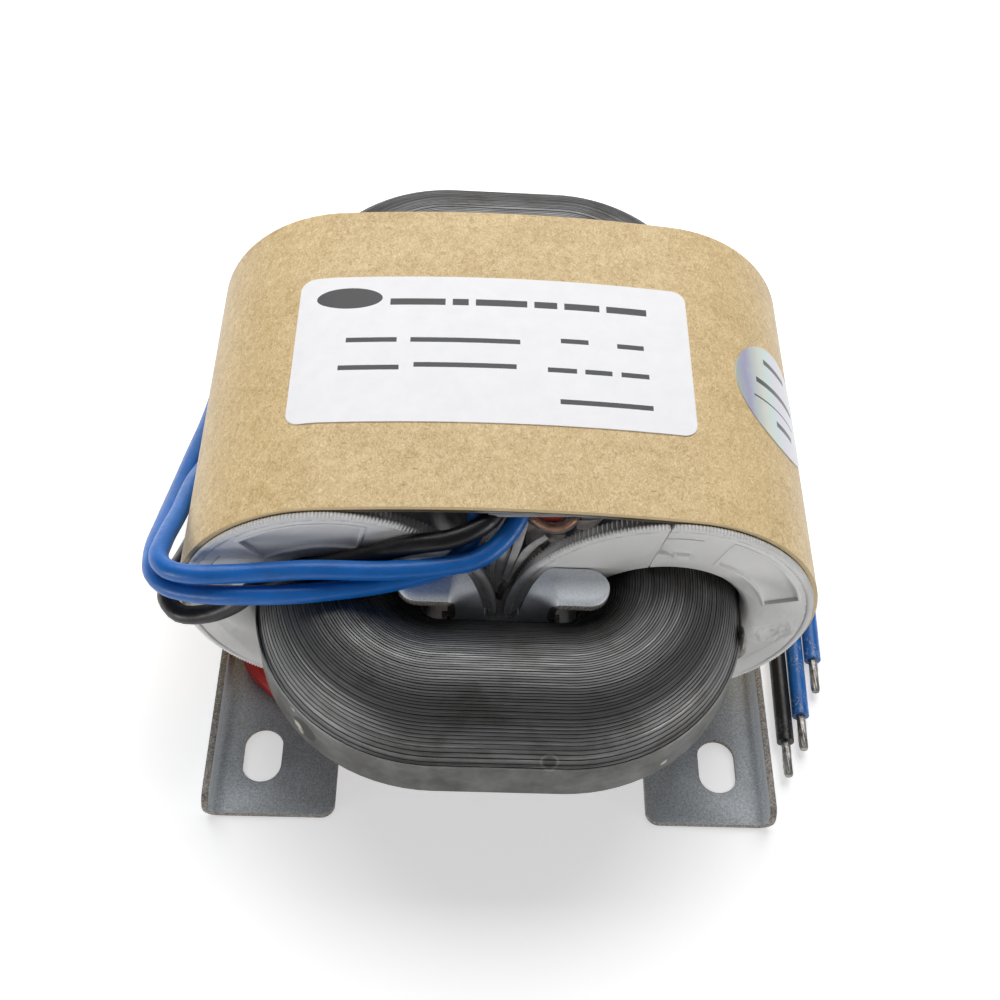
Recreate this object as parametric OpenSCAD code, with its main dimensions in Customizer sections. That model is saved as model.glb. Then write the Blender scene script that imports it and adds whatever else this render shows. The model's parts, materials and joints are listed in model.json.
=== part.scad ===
// R-core mains transformer. A closed core of wound steel strip threads two split bobbins that carry
// the windings, one paper belt wraps both coils, and a folded sheet bracket clips the core down.
// Millimetres. Front is -Y, up is +Z, and the bracket stands on Z = 0 with the origin at its centre.

/* [Core] */
// Diameter of the wound section
core_d = 17.8; // [16:0.1:19]
// Inner radius of the four corners
core_inner_r = 2.2; // [1.5:0.1:3]
// Gap between a flange face and the core inside the window
window_gap = 2.8; // [2.4:0.1:5]
// Steps in the section that stand for the turns of strip
core_steps = 57; // [11:2:61]
// Width of the narrowest strip, at the inside and the outside
strip_w = 5.6; // [4:0.2:7]

/* [Bobbins] */
// Diameter over the flange teeth
bobbin_d = 34; // [32:0.2:37]
// Length over the flange faces
bobbin_len = 45; // [40:0.5:50]
// Gap between the two pairs of flanges
coil_gap = 1.6; // [1:0.1:4]
// Thickness of a flange
flange_t = 1.8; // [1.2:0.1:2.4]
// Radial gap between the core and the bobbin's bore
core_gap = 0.7; // [0.3:0.1:1]
// Chamfer at the mouth of the bore
mouth_chamfer = 0.6; // [0.2:0.1:1]
// Wall of the winding tube
tube_wall = 1.1; // [0.8:0.1:1.6]
// Teeth round a flange
teeth = 200; // [90:2:260]
// Depth of those teeth
tooth_h = 0.35; // [0.2:0.05:0.6]
// Gap at the split between two bobbin halves
split_gap = 0.1; // [0.06:0.02:0.2]
// Lean of the split line from the radial direction, in degrees
split_lean = 17; // [0:1:25]
// Turn of the left bobbin about its axis, in degrees
left_turn = 104; // [0:1:359]
// Turn of the right bobbin about its axis, in degrees
right_turn = 42; // [0:1:359]
// Depth of the recesses in a flange face
recess_depth = 0.3; // [0.1:0.05:0.5]
// Height of the snap nib beside the split
nib_h = 0.4; // [0.2:0.05:0.8]

/* [Windings] */
// Build of the primary winding
primary_t = 2.4; // [1.6:0.1:3]
// Build of the insulation between the windings
insulation_t = 0.3; // [0.2:0.05:0.6]
// Build of the tape over the finished coil
tape_t = 0.5; // [0.2:0.05:0.8]
// How far the finished coil stays below the roots of the flange teeth
rim_margin = 0.5; // [0.2:0.1:1]
// Radial fit of the winding on its tube
coil_fit = 0.02; // [0:0.01:0.1]
// End gap between a coil and a flange
coil_end_gap = 0.1; // [0.05:0.05:0.5]

/* [Wrap] */
// Thickness of the film under the paper
film_t = 0.3; // [0.1:0.05:0.5]
// Thickness of the paper wrap
paper_t = 0.5; // [0.3:0.05:1]
// Setback of the paper's edge from the flange face
wrap_setback = 0.6; // [0.2:0.1:2]
// How far the film stands out beyond the paper's edge
film_edge = 0.1; // [0.1:0.1:0.5]
// Rise of the wrap's top midway between the coils
wrap_crown = 0.9; // [0.3:0.1:1.5]
// Label size across the coils
label_w = 44; // [30:0.5:46]
// Label size along the coils
label_l = 21.6; // [12:0.2:30]
// Shift of the label across the coils
label_x = -1.7; // [-3:0.1:3]
// Thickness of the label
label_t = 0.12; // [0.08:0.01:0.2]
// Corner radius of the label
label_r = 1.6; // [0.5:0.1:4]
// Diameter of the round sticker on the right shoulder
sticker_d = 15; // [8:0.5:18]
// Place of the sticker round the shoulder, in degrees above level
sticker_turn = 39; // [20:1:60]
// Thickness of the sticker
sticker_t = 0.1; // [0.08:0.01:0.2]

/* [Bracket] */
// Sheet thickness
sheet_t = 0.8; // [0.6:0.1:1.2]
// Width over the side lips
bracket_w = 66; // [60:0.5:74]
// Length over the feet
bracket_len = 79; // [72:0.5:90]
// Width of a foot, lip included
foot_w = 14.9; // [13:0.1:17]
// Height of the side lips above the floor
lip_h = 3.4; // [2.6:0.1:6]
// Inside radius of the folds
bend_r = 0.8; // [0.5:0.1:1.2]
// Corner radius of the feet and lips
foot_r = 1.6; // [0.8:0.1:2.5]
// Width of the mounting slots
slot_w = 4.5; // [3.4:0.1:5.5]
// Length of the mounting slots
slot_len = 7; // [5.6:0.1:9]
// Distance of a slot's centre from the bracket's side
slot_side = 6; // [5:0.1:8]
// Distance of a slot's centre from the foot's end
slot_end = 7.5; // [5.5:0.1:9]
// Gap between a clip tab and the core
clip_gap = 0.05; // [0.02:0.01:0.2]
// Gap beside a clip tab in the core's window
tab_side_gap = 0.3; // [0.2:0.1:1]
// Width over the two necks that carry the ears
neck_w = 10; // [8.6:0.1:10.6]
// Width of the notch between the ears
notch_w = 3.7; // [2:0.1:5]
// Reach of an ear's tip from the middle
ear_reach = 11.2; // [10:0.1:13]
// Width of an ear
ear_w = 4.5; // [3:0.1:5.5]
// Height of the ears above the top of the core
ear_lift = 0.5; // [0.4:0.1:2]
// Gap between an ear's back edge and the flange face
ear_gap = 0.15; // [0.1:0.05:0.5]

/* [Leads] */
// Diameter of an insulated lead
lead_d = 2.1; // [1.6:0.1:2.2]
// Diameter of a tinned lead end
tip_d = 1.15; // [0.8:0.05:1.4]
// Length of a tinned lead end
tip_len = 4.5; // [3:0.1:6]
// Diameter of the sleeved winding ends
tail_d = 1.3; // [0.8:0.1:1.4]
// Thickness of the tape ends between the bobbins
tail_tape_t = 0.2; // [0.1:0.05:0.3]

/* [Hidden] */
$fn = 64;

core_r = core_d / 2;
flange_r = bobbin_d / 2;
half_pitch = (bobbin_d + coil_gap) / 2;
face_y = bobbin_len / 2;
inner_y = face_y + window_gap;
core_y = inner_y + core_r;
bore_r = core_r + core_gap;
tube_r = bore_r + tube_wall;
root_r = flange_r - tooth_h;
coil_r = root_r - rim_margin;
coil_len = bobbin_len - 2 * flange_t - 2 * coil_end_gap;
primary_r = tube_r + primary_t;
insulation_r = primary_r + insulation_t;
secondary_r = coil_r - tape_t;
film_r = flange_r + film_t;
paper_r = film_r + paper_t;
paper_len = bobbin_len - 2 * wrap_setback;
film_len = paper_len + 2 * film_edge;
// The wrap rests on the bracket's plate, which sets the height of the coil axes
axis_z = sheet_t + paper_r;
// Centre of the big arc that crowns the wrap and runs smoothly into both shoulders
crown_drop = (pow(half_pitch, 2) - pow(wrap_crown, 2)) / (2 * wrap_crown);
crown_rise = crown_drop + wrap_crown;
film_under_z = axis_z + flange_r + wrap_crown;
// Flange face layout, angles from the middle of the marking panel
flange_band = root_r - bore_r;
panel_half_a = 25;
panel_mid_r = bore_r + 0.59 * flange_band;
panel_h = 0.52 * flange_band;
panel_rim = 0.3;
panel_rim_h = 0.12;
split_a = 60;
// Latch beside the split: a slit that frees a tongue, a wedge below the tongue and a nib at its end
slit_r = bore_r + 0.79 * flange_band;
slit_from_a = 38;
slit_w = 0.16;
wedge_a = [57.5, 55.2, 49];
wedge_r = [0.44, 0.6, 0.37] * flange_band + bore_r * [1, 1, 1];
wedge_depth = 0.45;
nib_r = bore_r + 0.38 * flange_band;
nib_a = 44.5;
nib_w = 1.9;
nib_l = 1.4;
corner_cut_a = 3.5;
corner_cut = 0.2;
// Round gate mark of the moulding
gate_a = -52;
gate_ball_r = 6;
// Clip tabs and ears
tab_y = inner_y - clip_gap;
tab_w = 2 * (half_pitch - core_r - core_inner_r - tab_side_gap);
lip_z = axis_z + strip_w / 2 + 0.3;
neck_top_z = lip_z + 0.9;
ear_z = axis_z + core_r + ear_lift;
ear_back = face_y + ear_gap;
ear_front = ear_back + ear_w;
ear_root = neck_w / 2 + 0.9;
ear_join = 0.3;
ear_inset = 0.02;
bridge_y = tab_y - sheet_t - bend_r;

// Splices where the leads join the windings, under the wrap
splice_y = 14;
splice_len = 9;
splice_gap = 0.2;
splice_top_w = 8.4;
splice_top_h = 2.8;
splice_bottom_w = 2.8;
splice_bottom_h = 2.2;
splice_bottom_x = 8.4;
// Each tape end: lean in degrees and length
tape_fan = [[-13, 6.4], [-4, 7], [3, 8], [10, 9], [23, 7]];
tape_fan_rise = 5;
tape_fan_depth = 2.6;
tape_root_r = 0.8;

// Routes of the leads, from the splice to the end of the insulation
blue_1 = [[1.8, -14, 34.6], [1.8, -18.5, 34.6], [0.4, -21.8, 33.3], [-2.6, -24.5, 32.2],
  [-6.5, -25.5, 31.8], [-12, -26.1, 31.6], [-20, -25.9, 31], [-28, -25.5, 29.2], [-32.5, -25.3, 28.6],
  [-35, -24.4, 28], [-36.4, -22.4, 27], [-36.7, -19.4, 25.4], [-36.65, -12, 21], [-36.8, -4, 16.3],
  [-36.3, 4, 11.2], [-36, 13, 6.2], [-36.6, 22, 2.35], [-36.85, 30, 1.3], [-36.95, 37.5, 1.2],
  [-36.2, 43.4, 1.2], [-31.8, 49.4, 1.2], [-22.5, 51.15, 1.2], [0, 51.3, 1.2], [22.5, 51.1, 1.2],
  [33.4, 49, 1.2], [38.1, 41, 1.2], [38.85, 30, 1.2], [38.8, 16, 1.2], [38.7, 2, 1.2],
  [37.9, -25.2, 1.2]];
blue_2 = [[-2.9, -14, 34.4], [-2.9, -18.5, 34.4], [-3.6, -22.2, 31.9], [-5.4, -23.7, 30.1],
  [-9, -25, 29.2], [-20, -27.2, 28.7], [-27, -27, 27.5], [-32, -26.1, 26.2], [-35.2, -25, 25.5],
  [-37.2, -22.9, 24.7], [-38.1, -19.4, 23.2], [-38.5, -12, 19.2], [-38.7, -4, 14.8], [-38.6, 4, 11.2],
  [-38.5, 13, 7], [-38.7, 22, 3.2], [-39.1, 30, 1.5], [-39.25, 37, 1.2], [-38.6, 44.6, 1.2],
  [-33.8, 51.9, 1.2], [-23, 53.6, 1.2], [0, 53.8, 1.2], [23, 53.6, 1.2], [35.3, 51.4, 1.2],
  [40.5, 43, 1.2], [41.25, 32, 1.2], [41.25, 18, 1.2], [41.15, 4, 1.2], [40.4, -17.2, 1.2]];
black = [[-0.6, -14, 34.9], [-0.6, -18.5, 34.9], [-1.8, -21.6, 34.9], [-5, -23.5, 34.3],
  [-10, -23.7, 32.8], [-15, -23.8, 30.5], [-20.5, -23.9, 28.3], [-25.3, -24.4, 26.3], [-28.4, -24.9, 22.8],
  [-31.8, -25, 20.5], [-35, -24.4, 19.4], [-36.8, -22.2, 18.8], [-37.2, -18.5, 17], [-36.8, -12, 13.4],
  [-36.4, -4, 8.8], [-35.8, 4, 4.6], [-35, 12, 1.9], [-34.5, 20, 1.25], [-34.45, 30, 1.2],
  [-34.5, 39.4, 1.2], [-30.8, 46.4, 1.2], [-22, 48.6, 1.2], [0, 48.8, 1.2], [22, 48.6, 1.2],
  [31.4, 46.6, 1.2], [35.8, 40, 1.2], [36.5, 30, 1.2], [36.5, 15, 1.2], [36.3, 0, 1.2],
  [35.6, -28.8, 1.2]];
red_1 = [[-8.7, -14, 2.75], [-8.7, -22.4, 2.75], [-10.4, -26.2, 2.4], [-15, -28.4, 2], [-21, -27.4, 2],
  [-25.6, -24.4, 2], [-29.2, -20.6, 2], [-30, -15, 2], [-29.8, 30, 2], [-28, 39.4, 2.2],
  [-22, 43.4, 1.6]];
red_2 = [[-8.7, 14, 2.75], [-8.7, 22.4, 2.75], [-7, 26.4, 2.2], [-3, 28.2, 1.4], [10.8, 28.2, 1.2],
  [13.8, 29.5, 1.2], [15.1, 32.5, 1.2], [13.8, 35.5, 1.2], [10.8, 36.8, 1.2], [-7, 36.8, 1.2],
  [-10, 38.1, 1.2], [-11.3, 41.1, 1.2], [-10, 44.1, 1.2], [-7, 45.4, 1.2], [12, 45.4, 1.2]];
// Sleeved winding ends: angle round the coil, distance behind the flange face, lift off the tape
tail_right = [[46.4, 10.5, 0.2], [51, 6.5, 0.4], [53.6, 3.5, 1.1], [49, 2.1, 1.2], [44.6, 2.1, 2],
  [40.6, 3.1, 1.6], [34.6, 4.1, 0.5]];
tail_left = [[46.4, 10.5, 0.2], [46.4, 6.9, 0.3], [41.3, 3.5, 0.8], [35.1, 2.3, 1.3], [30.4, 3.1, 0.6],
  [27.2, 4.1, 0.3]];
function tail_route(side, spec) =
  [for (q = spec) let (r = coil_r + tail_d / 2 + q[2])
    [side * (half_pitch - r * cos(q[0])), -face_y + q[1], axis_z + r * sin(q[0])]];

// Unit vector along v
function unit(v) = v / norm(v);

// Direction of a route at point i, halfway between its two neighbours
function heading(route, i) =
  let (n = len(route) - 1, u = i > 0 ? unit(route[i] - route[i - 1]) : [0, 0, 0])
  let (v = i < n ? unit(route[i + 1] - route[i]) : [0, 0, 0])
  unit(u + v);

// Points along a route, about one step apart and eased round its corners
function eased(route, step = 3 * lead_d) = concat(
  [for (i = [0 : len(route) - 2])
    let (p = route[i], q = route[i + 1], l = norm(q - p), k = max(1, round(l / step)))
    let (m = l * heading(route, i), n = l * heading(route, i + 1))
    for (j = [0 : k - 1])
      let (t = j / k, t2 = t * t, t3 = t * t * t)
      (2 * t3 - 3 * t2 + 1) * p + (t3 - 2 * t2 + t) * m + (3 * t2 - 2 * t3) * q + (t3 - t2) * n],
  [route[len(route) - 1]]);

// Side vectors carried along a route without twist, starting level
function sides(route, i = 0, before = undef) =
  i == len(route) ? [] :
  let (t = heading(route, i))
  let (s = is_undef(before) ? cross(t, abs(t[2]) > 0.9 ? [1, 0, 0] : [0, 0, 1]) : before)
  let (n = unit(s - (s * t) * t))
  concat([n], sides(route, i + 1, n));

// Round tube along a route
module tube(route, d, ring = 8) {
  side = sides(route);
  last = len(route) - 1;
  rings = [for (i = [0 : last])
    let (t = heading(route, i), n = side[i], b = cross(t, n))
    for (k = [0 : ring - 1])
      let (a = 360 * k / ring)
      route[i] + d / 2 * (cos(a) * n + sin(a) * b)];
  wall = [for (i = [0 : last - 1])
    for (k = [0 : ring - 1])
      let (p = i * ring + k, q = i * ring + (k + 1) % ring)
      each [[p, p + ring, q], [q, p + ring, q + ring]]];
  start = [for (k = [0 : ring - 1]) k];
  end = [for (k = [ring - 1 : -1 : 0]) last * ring + k];
  polyhedron(points = rings, faces = concat(wall, [start], [end]), convexity = 8);
}

// Places a child that stands on Z at the end of a route, along it
module at_end(route) {
  t = heading(route, len(route) - 1);
  translate(route[len(route) - 1])
    rotate([0, acos(t[2]), atan2(t[1], t[0])])
      children();
}

// Bare wire at the end of a lead, with its cut edge eased
module tip(route) {
  color("silver")
    at_end(eased(route)) {
      cylinder(h = tip_len - 0.2, d = tip_d, $fn = 24);
      translate([0, 0, tip_len - 0.2])
        cylinder(h = 0.2, d1 = tip_d, d2 = tip_d - 0.4, $fn = 24);
    }
}

// Turns a shape drawn about Z into one about the coil axis of one side (-1 left, 1 right)
module on_coil(side) {
  translate([side * half_pitch, 0, axis_z])
    rotate([90, 0, 0])
      children();
}

// Ring about the coil axis
module sleeve(inner, outer, length) {
  difference() {
    cylinder(h = length, r = outer, center = true);
    cylinder(h = length + 1, r = inner, center = true);
  }
}

// Half height of the core's section at distance u from its middle
function strip_half(u) =
  abs(u) > core_r - core_d / core_steps ? strip_w / 2 : sqrt(pow(core_r, 2) - pow(u, 2));

// Stepped round section of the wound strip, X outward from the middle of the strip stack
module core_section() {
  step = core_d / core_steps;
  us = [for (i = [0 : core_steps - 1]) -core_r + (i + 0.5) * step];
  top = [for (u = us) each [[u - step / 2, strip_half(u)], [u + step / 2, strip_half(u)]]];
  bottom = [for (i = [len(top) - 1 : -1 : 0]) [top[i][0], -top[i][1]]];
  polygon(concat(top, bottom));
}

// Closed loop of strip: four straight runs and four corners
module core() {
  turn_r = core_inner_r + core_r;
  run_x = half_pitch - turn_r;
  run_y = core_y - turn_r;
  color("dimgray")
    translate([0, 0, axis_z])
      for (s = [-1, 1]) {
        translate([s * half_pitch, 0, 0])
          rotate([90, 0, 0])
            linear_extrude(height = 2 * run_y, center = true) core_section();
        translate([0, s * core_y, 0])
          rotate([90, 0, 90])
            linear_extrude(height = 2 * run_x, center = true) core_section();
        for (a = [0, 90])
          rotate([0, 0, s > 0 ? 0 : 180])
            translate([a == 0 ? run_x : -run_x, run_y, 0])
              rotate([0, 0, a])
                rotate_extrude(angle = 90) translate([turn_r, 0]) core_section();
      }
}

// Outline of a flange with its fine teeth
module toothed_disc() {
  polygon([for (i = [0 : 2 * teeth - 1])
    let (r = i % 2 == 0 ? flange_r : root_r, a = 180 * i / teeth)
    [r * cos(a), r * sin(a)]]);
}

// Point of the flange plane at radius r and angle a
function at(r, a) = [r * cos(a), r * sin(a)];

// Plan of the space that one bobbin half keeps to, with the leaning split lines and, on the latch
// side, a corner cut back at the bore
module half_plan() {
  far = 2 * flange_r;
  slack = asin(split_gap / 2 / bore_r);
  in_a = split_lean * 0.4;
  out_a = -split_lean * 0.6;
  near = at(bore_r * 0.9, split_a + in_a - slack);
  rim = at(flange_r * 1.1, split_a + out_a - slack);
  polygon([
    [0, 0],
    at(bore_r * 0.9, split_a + in_a - slack - corner_cut_a),
    near + (rim - near) * corner_cut,
    rim,
    for (a = [split_a - 40 : -35 : split_a - 145]) at(far, a),
    at(flange_r * 1.1, split_a - 180 + out_a + slack),
    at(bore_r * 0.9, split_a - 180 + in_a + slack)
  ]);
}

// Part of a ring between two radii and two angles, from Z = 0 up
module ring_part(inner, outer, from_a, to_a, h) {
  rotate([0, 0, from_a])
    rotate_extrude(angle = to_a - from_a)
      translate([inner, 0]) square([outer - inner, h]);
}

// Flange with its outer face at Z = 0 and the tube below it
module flange() {
  panel_in = panel_mid_r - panel_h / 2;
  panel_out = panel_mid_r + panel_h / 2;
  rim_a = panel_rim / panel_mid_r * 180 / PI;
  difference() {
    translate([0, 0, -flange_t])
      linear_extrude(height = flange_t) toothed_disc();
    translate([0, 0, -flange_t - 1])
      cylinder(h = flange_t + 2, r = bore_r);
    translate([0, 0, -mouth_chamfer])
      cylinder(h = mouth_chamfer + 0.01, r1 = bore_r, r2 = bore_r + mouth_chamfer + 0.01);
    translate([0, 0, -recess_depth]) {
      ring_part(panel_in, panel_out, -panel_half_a, panel_half_a, 1);
      ring_part(slit_r, slit_r + slit_w, slit_from_a, split_a, 1);
    }
    translate([0, 0, -wedge_depth])
      linear_extrude(height = 1) polygon([for (i = [0 : 2]) at(wedge_r[i], wedge_a[i])]);
    rotate([0, 0, gate_a])
      translate([panel_mid_r, 0, gate_ball_r - recess_depth]) sphere(r = gate_ball_r);
  }
  difference() {
    translate([0, 0, -panel_rim_h])
      ring_part(panel_in - panel_rim, panel_out + panel_rim,
        -panel_half_a - rim_a, panel_half_a + rim_a, 2 * panel_rim_h);
    translate([0, 0, -1])
      ring_part(panel_in, panel_out, -panel_half_a, panel_half_a, 2);
  }
  rotate([0, 0, nib_a])
    translate([nib_r, 0, -nib_h])
      linear_extrude(height = 2 * nib_h, scale = 0.7) square([nib_l, nib_w], center = true);
}

// One half of a bobbin, turned so that its marking panel sits at angle turn
module bobbin_half(turn) {
  rotate([0, 0, turn])
    intersection() {
      union() {
        difference() {
          cylinder(h = bobbin_len - flange_t, r = tube_r, center = true);
          cylinder(h = bobbin_len, r = bore_r, center = true);
        }
        translate([0, 0, face_y]) flange();
        translate([0, 0, -face_y]) mirror([0, 0, 1]) flange();
      }
      translate([0, 0, -bobbin_len]) linear_extrude(height = 2 * bobbin_len) half_plan();
    }
}

module bobbin_left_upper() { color("gainsboro") on_coil(-1) bobbin_half(left_turn); }
module bobbin_left_lower() { color("gainsboro") on_coil(-1) bobbin_half(left_turn + 180); }
module bobbin_right_upper() { color("gainsboro") on_coil(1) bobbin_half(right_turn); }
module bobbin_right_lower() { color("gainsboro") on_coil(1) bobbin_half(right_turn + 180); }

module primary(side) { color("chocolate") on_coil(side) sleeve(tube_r + coil_fit, primary_r, coil_len); }
module insulation(side) { color("khaki") on_coil(side) sleeve(primary_r, insulation_r, coil_len); }
module secondary(side) { color("peru") on_coil(side) sleeve(insulation_r, secondary_r, coil_len); }
module coil_tape(side) { color("whitesmoke") on_coil(side) sleeve(secondary_r, coil_r, coil_len); }

// Outline of the wrap at radius r from the coil axes: flat below, crowned above
module wrap_outline(r) {
  spread = 1.3;
  for (s = [-1, 1])
    translate([s * half_pitch, 0]) circle(r = r, $fn = 96);
  translate([-half_pitch, -r]) square([2 * half_pitch, r]);
  intersection() {
    translate([0, -crown_drop]) circle(r = r + crown_rise, $fn = 360);
    polygon([[-half_pitch, 0], [half_pitch, 0],
      [half_pitch * spread, crown_drop * (spread - 1)], [-half_pitch * spread, crown_drop * (spread - 1)]]);
  }
}

// Belt round both coils
module belt(inner, outer, length) {
  translate([0, 0, axis_z])
    rotate([90, 0, 0])
      difference() {
        linear_extrude(height = length, center = true) wrap_outline(outer);
        linear_extrude(height = length + 1, center = true) wrap_outline(inner);
      }
}

module film_wrap() { color("ghostwhite") belt(flange_r, film_r, film_len); }
module paper_wrap() { color("burlywood") belt(film_r, paper_r, paper_len); }

// Rectangle with round corners about the origin
module round_rect(w, l, r) {
  square([w - 2 * r, l], center = true);
  square([w, l - 2 * r], center = true);
  for (x = [-1, 1], y = [-1, 1])
    translate([x * (w / 2 - r), y * (l / 2 - r)]) circle(r = r, $fn = 32);
}

// Label that lies on the crown of the wrap
module label() {
  color("white")
    intersection() {
      belt(paper_r, paper_r + label_t, paper_len);
      translate([label_x, 0, axis_z + core_r])
        linear_extrude(height = 2 * paper_r) round_rect(label_w, label_l, label_r);
    }
}

// Round sticker bent over the right shoulder
module round_sticker() {
  color("lightsteelblue")
    intersection() {
      on_coil(1) sleeve(paper_r, paper_r + sticker_t, paper_len, $fn = 96);
      translate([half_pitch, 0, axis_z])
        rotate([0, 90 - sticker_turn, 0])
          cylinder(h = 2 * paper_r, d = sticker_d);
    }
}

// Corner of a fold: quarter ring between angles 180 and 270, centred on the inside radius
module fold_corner() {
  difference() {
    circle(r = bend_r + sheet_t, $fn = 48);
    circle(r = bend_r, $fn = 48);
    translate([-2 * foot_w, 0]) square([4 * foot_w, 2 * foot_w]);
    translate([0, -foot_w]) square([2 * foot_w, 2 * foot_w]);
  }
}

// Side rail: foot plate with a lip folded up along the outside, on the +X side
module rail() {
  plate_w = foot_w - bend_r - sheet_t;
  difference() {
    union() {
      intersection() {
        translate([bracket_w / 2 - foot_w + plate_w / 2, 0, 0])
          linear_extrude(height = sheet_t) square([plate_w, bracket_len], center = true);
        translate([bracket_w / 2 - foot_w / 2, 0, -1])
          linear_extrude(height = 2 + sheet_t) round_rect(foot_w, bracket_len, foot_r);
      }
      intersection() {
        union() {
          translate([bracket_w / 2 - sheet_t - bend_r, 0, sheet_t + bend_r])
            rotate([90, 0, 0])
              mirror([1, 0, 0])
                linear_extrude(height = bracket_len, center = true) fold_corner();
          translate([bracket_w / 2 - sheet_t, -bracket_len / 2, sheet_t + bend_r])
            cube([sheet_t, bracket_len, lip_h - sheet_t - bend_r]);
        }
        translate([bracket_w / 2 - foot_w, 0, lip_h - bracket_len / 2])
          rotate([90, 0, 90])
            linear_extrude(height = foot_w + 1) round_rect(bracket_len, bracket_len, foot_r);
      }
    }
    for (s = [-1, 1])
      translate([bracket_w / 2 - slot_side, s * (bracket_len / 2 - slot_end), -1])
        for (e = [-1, 1]) {
          translate([0, e * (slot_len - slot_w) / 2, 0])
            cylinder(h = sheet_t + 2, d = slot_w, $fn = 48);
          translate([-slot_w / 2, -(slot_len - slot_w) / 2, 0])
            cube([slot_w, slot_len - slot_w, sheet_t + 2]);
        }
  }
}

// Eases from 0 to 1 with level ends
function ease(t) = let (c = min(max(t, 0), 1)) c * c * (3 - 2 * c);

// Edges of an ear at station u: 0 to 1 twists it over from the neck, 1 to 2 runs out to the round tip
ear_round_from = 1 - ear_w / 2 / (ear_reach - ear_root);
function ear_edge(u, outer) =
  let (v = max(u - 1, 0), w = max(v - ear_round_from, 0) / (1 - ear_round_from))
  let (half = ear_w / 2 * sqrt(max(1 - pow(w, 2), 0.01)))
  let (a = 90 * min(u, 1), mid = (ear_back + ear_front) / 2)
  let (base = outer ? neck_w / 2 - ear_inset : notch_w / 2 + ear_inset)
  let (root_x = outer ? ear_root : ear_root - 0.5)
  let (y_end = outer ? mid + half : mid - half, y_ease = ease(outer ? u / 0.85 : (u - 0.15) / 0.85))
  let (from_z = neck_top_z - ear_join)
  [base + (root_x - base) * (1 - cos(a)) + v * (ear_reach - root_x),
    -(tab_y - ear_inset) + (tab_y - ear_inset - y_end) * y_ease,
    from_z + (ear_z - from_z) * sin(a)];

// Ear on the right of the front tab: a strip of sheet twisted from upright to flat
module ear() {
  stations = concat([for (i = [0 : 16]) i / 16],
    [for (a = [0 : 10 : 90]) 1 + ear_round_from + (1 - ear_round_from) * sin(a)]);
  last = len(stations) - 1;
  inner = [for (u = stations) ear_edge(u, false)];
  outer = [for (u = stations) ear_edge(u, true)];
  mids = (inner + outer) / 2;
  out = [for (i = [0 : last])
    unit(cross(outer[i] - inner[i], mids[min(i + 1, last)] - mids[max(i - 1, 0)]))];
  points = [for (i = [0 : last])
    each [inner[i], outer[i], outer[i] - sheet_t * out[i], inner[i] - sheet_t * out[i]]];
  wall = [for (i = [0 : last - 1])
    for (k = [0 : 3])
      let (p = 4 * i + k, q = 4 * i + (k + 1) % 4)
      each [[p, p + 4, q], [q, p + 4, q + 4]]];
  ends = [[0, 1, 2, 3], [4 * last + 3, 4 * last + 2, 4 * last + 1, 4 * last]];
  polyhedron(points = points, faces = concat(wall, ends), convexity = 6);
}

// Clip tab at the front: folded up from the bridge plate, with two ears that lap the core
module clip_tab() {
  difference() {
    union() {
      translate([0, -tab_y + sheet_t + bend_r, sheet_t + bend_r])
        rotate([90, 0, 90])
          linear_extrude(height = tab_w, center = true) fold_corner();
      translate([-tab_w / 2, -tab_y, sheet_t + bend_r])
        cube([tab_w, sheet_t, lip_z - sheet_t - bend_r]);
      translate([-neck_w / 2, -tab_y, lip_z - 1])
        cube([neck_w, sheet_t, neck_top_z - lip_z + 1]);
    }
    translate([0, -tab_y - 1, lip_z + notch_w / 2 - 0.3])
      rotate([-90, 0, 0])
        cylinder(h = sheet_t + 2, d = notch_w, $fn = 48);
    translate([-notch_w / 2, -tab_y - 1, lip_z + notch_w / 2 - 0.3])
      cube([notch_w, sheet_t + 2, 2 * notch_w]);
  }
  for (s = [0, 1])
    mirror([s, 0, 0]) ear();
}

// Folded sheet bracket: two rails with feet and lips, a bridge plate and the two clip tabs
module bracket() {
  color("lightslategray") {
    for (s = [0, 1]) {
      mirror([s, 0, 0]) rail();
      mirror([0, s, 0]) clip_tab();
    }
    translate([-bracket_w / 2 + foot_w - 1, -bridge_y, 0])
      cube([bracket_w - 2 * foot_w + 2, 2 * bridge_y, sheet_t]);
  }
}

// Taped splices that hold the lead ends to the windings
module splice_top() {
  color("whitesmoke")
    translate([-splice_top_w / 2, -splice_y, film_under_z - splice_gap - splice_top_h])
      cube([splice_top_w, splice_len, splice_top_h]);
}

module splice_bottom() {
  color("whitesmoke")
    for (s = [-1, 1])
      translate([-splice_bottom_x - splice_bottom_w / 2, s * splice_y - (s > 0 ? splice_len : 0),
          axis_z - flange_r + splice_gap])
        cube([splice_bottom_w, splice_len, splice_bottom_h]);
}

// Loose tape ends that fan up out of the gap between the bobbins
module tape_tails() {
  color("whitesmoke")
    translate([0, -face_y + flange_t, axis_z + tape_fan_rise])
      rotate([90, 0, 0])
        mirror([0, 0, 1])
          linear_extrude(height = tape_fan_depth) {
            circle(r = tape_root_r, $fn = 24);
            for (end = tape_fan)
              rotate(-end[0])
                translate([-tail_tape_t / 2, 0]) square([tail_tape_t, end[1]]);
          }
}

module copper_tail_left() { color("peru") tube(tail_route(-1, tail_left), tail_d); }
module copper_tail_right() { color("peru") tube(tail_route(1, tail_right), tail_d); }

module lead(route, shade) { color(shade) tube(eased(route), lead_d); }

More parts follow.
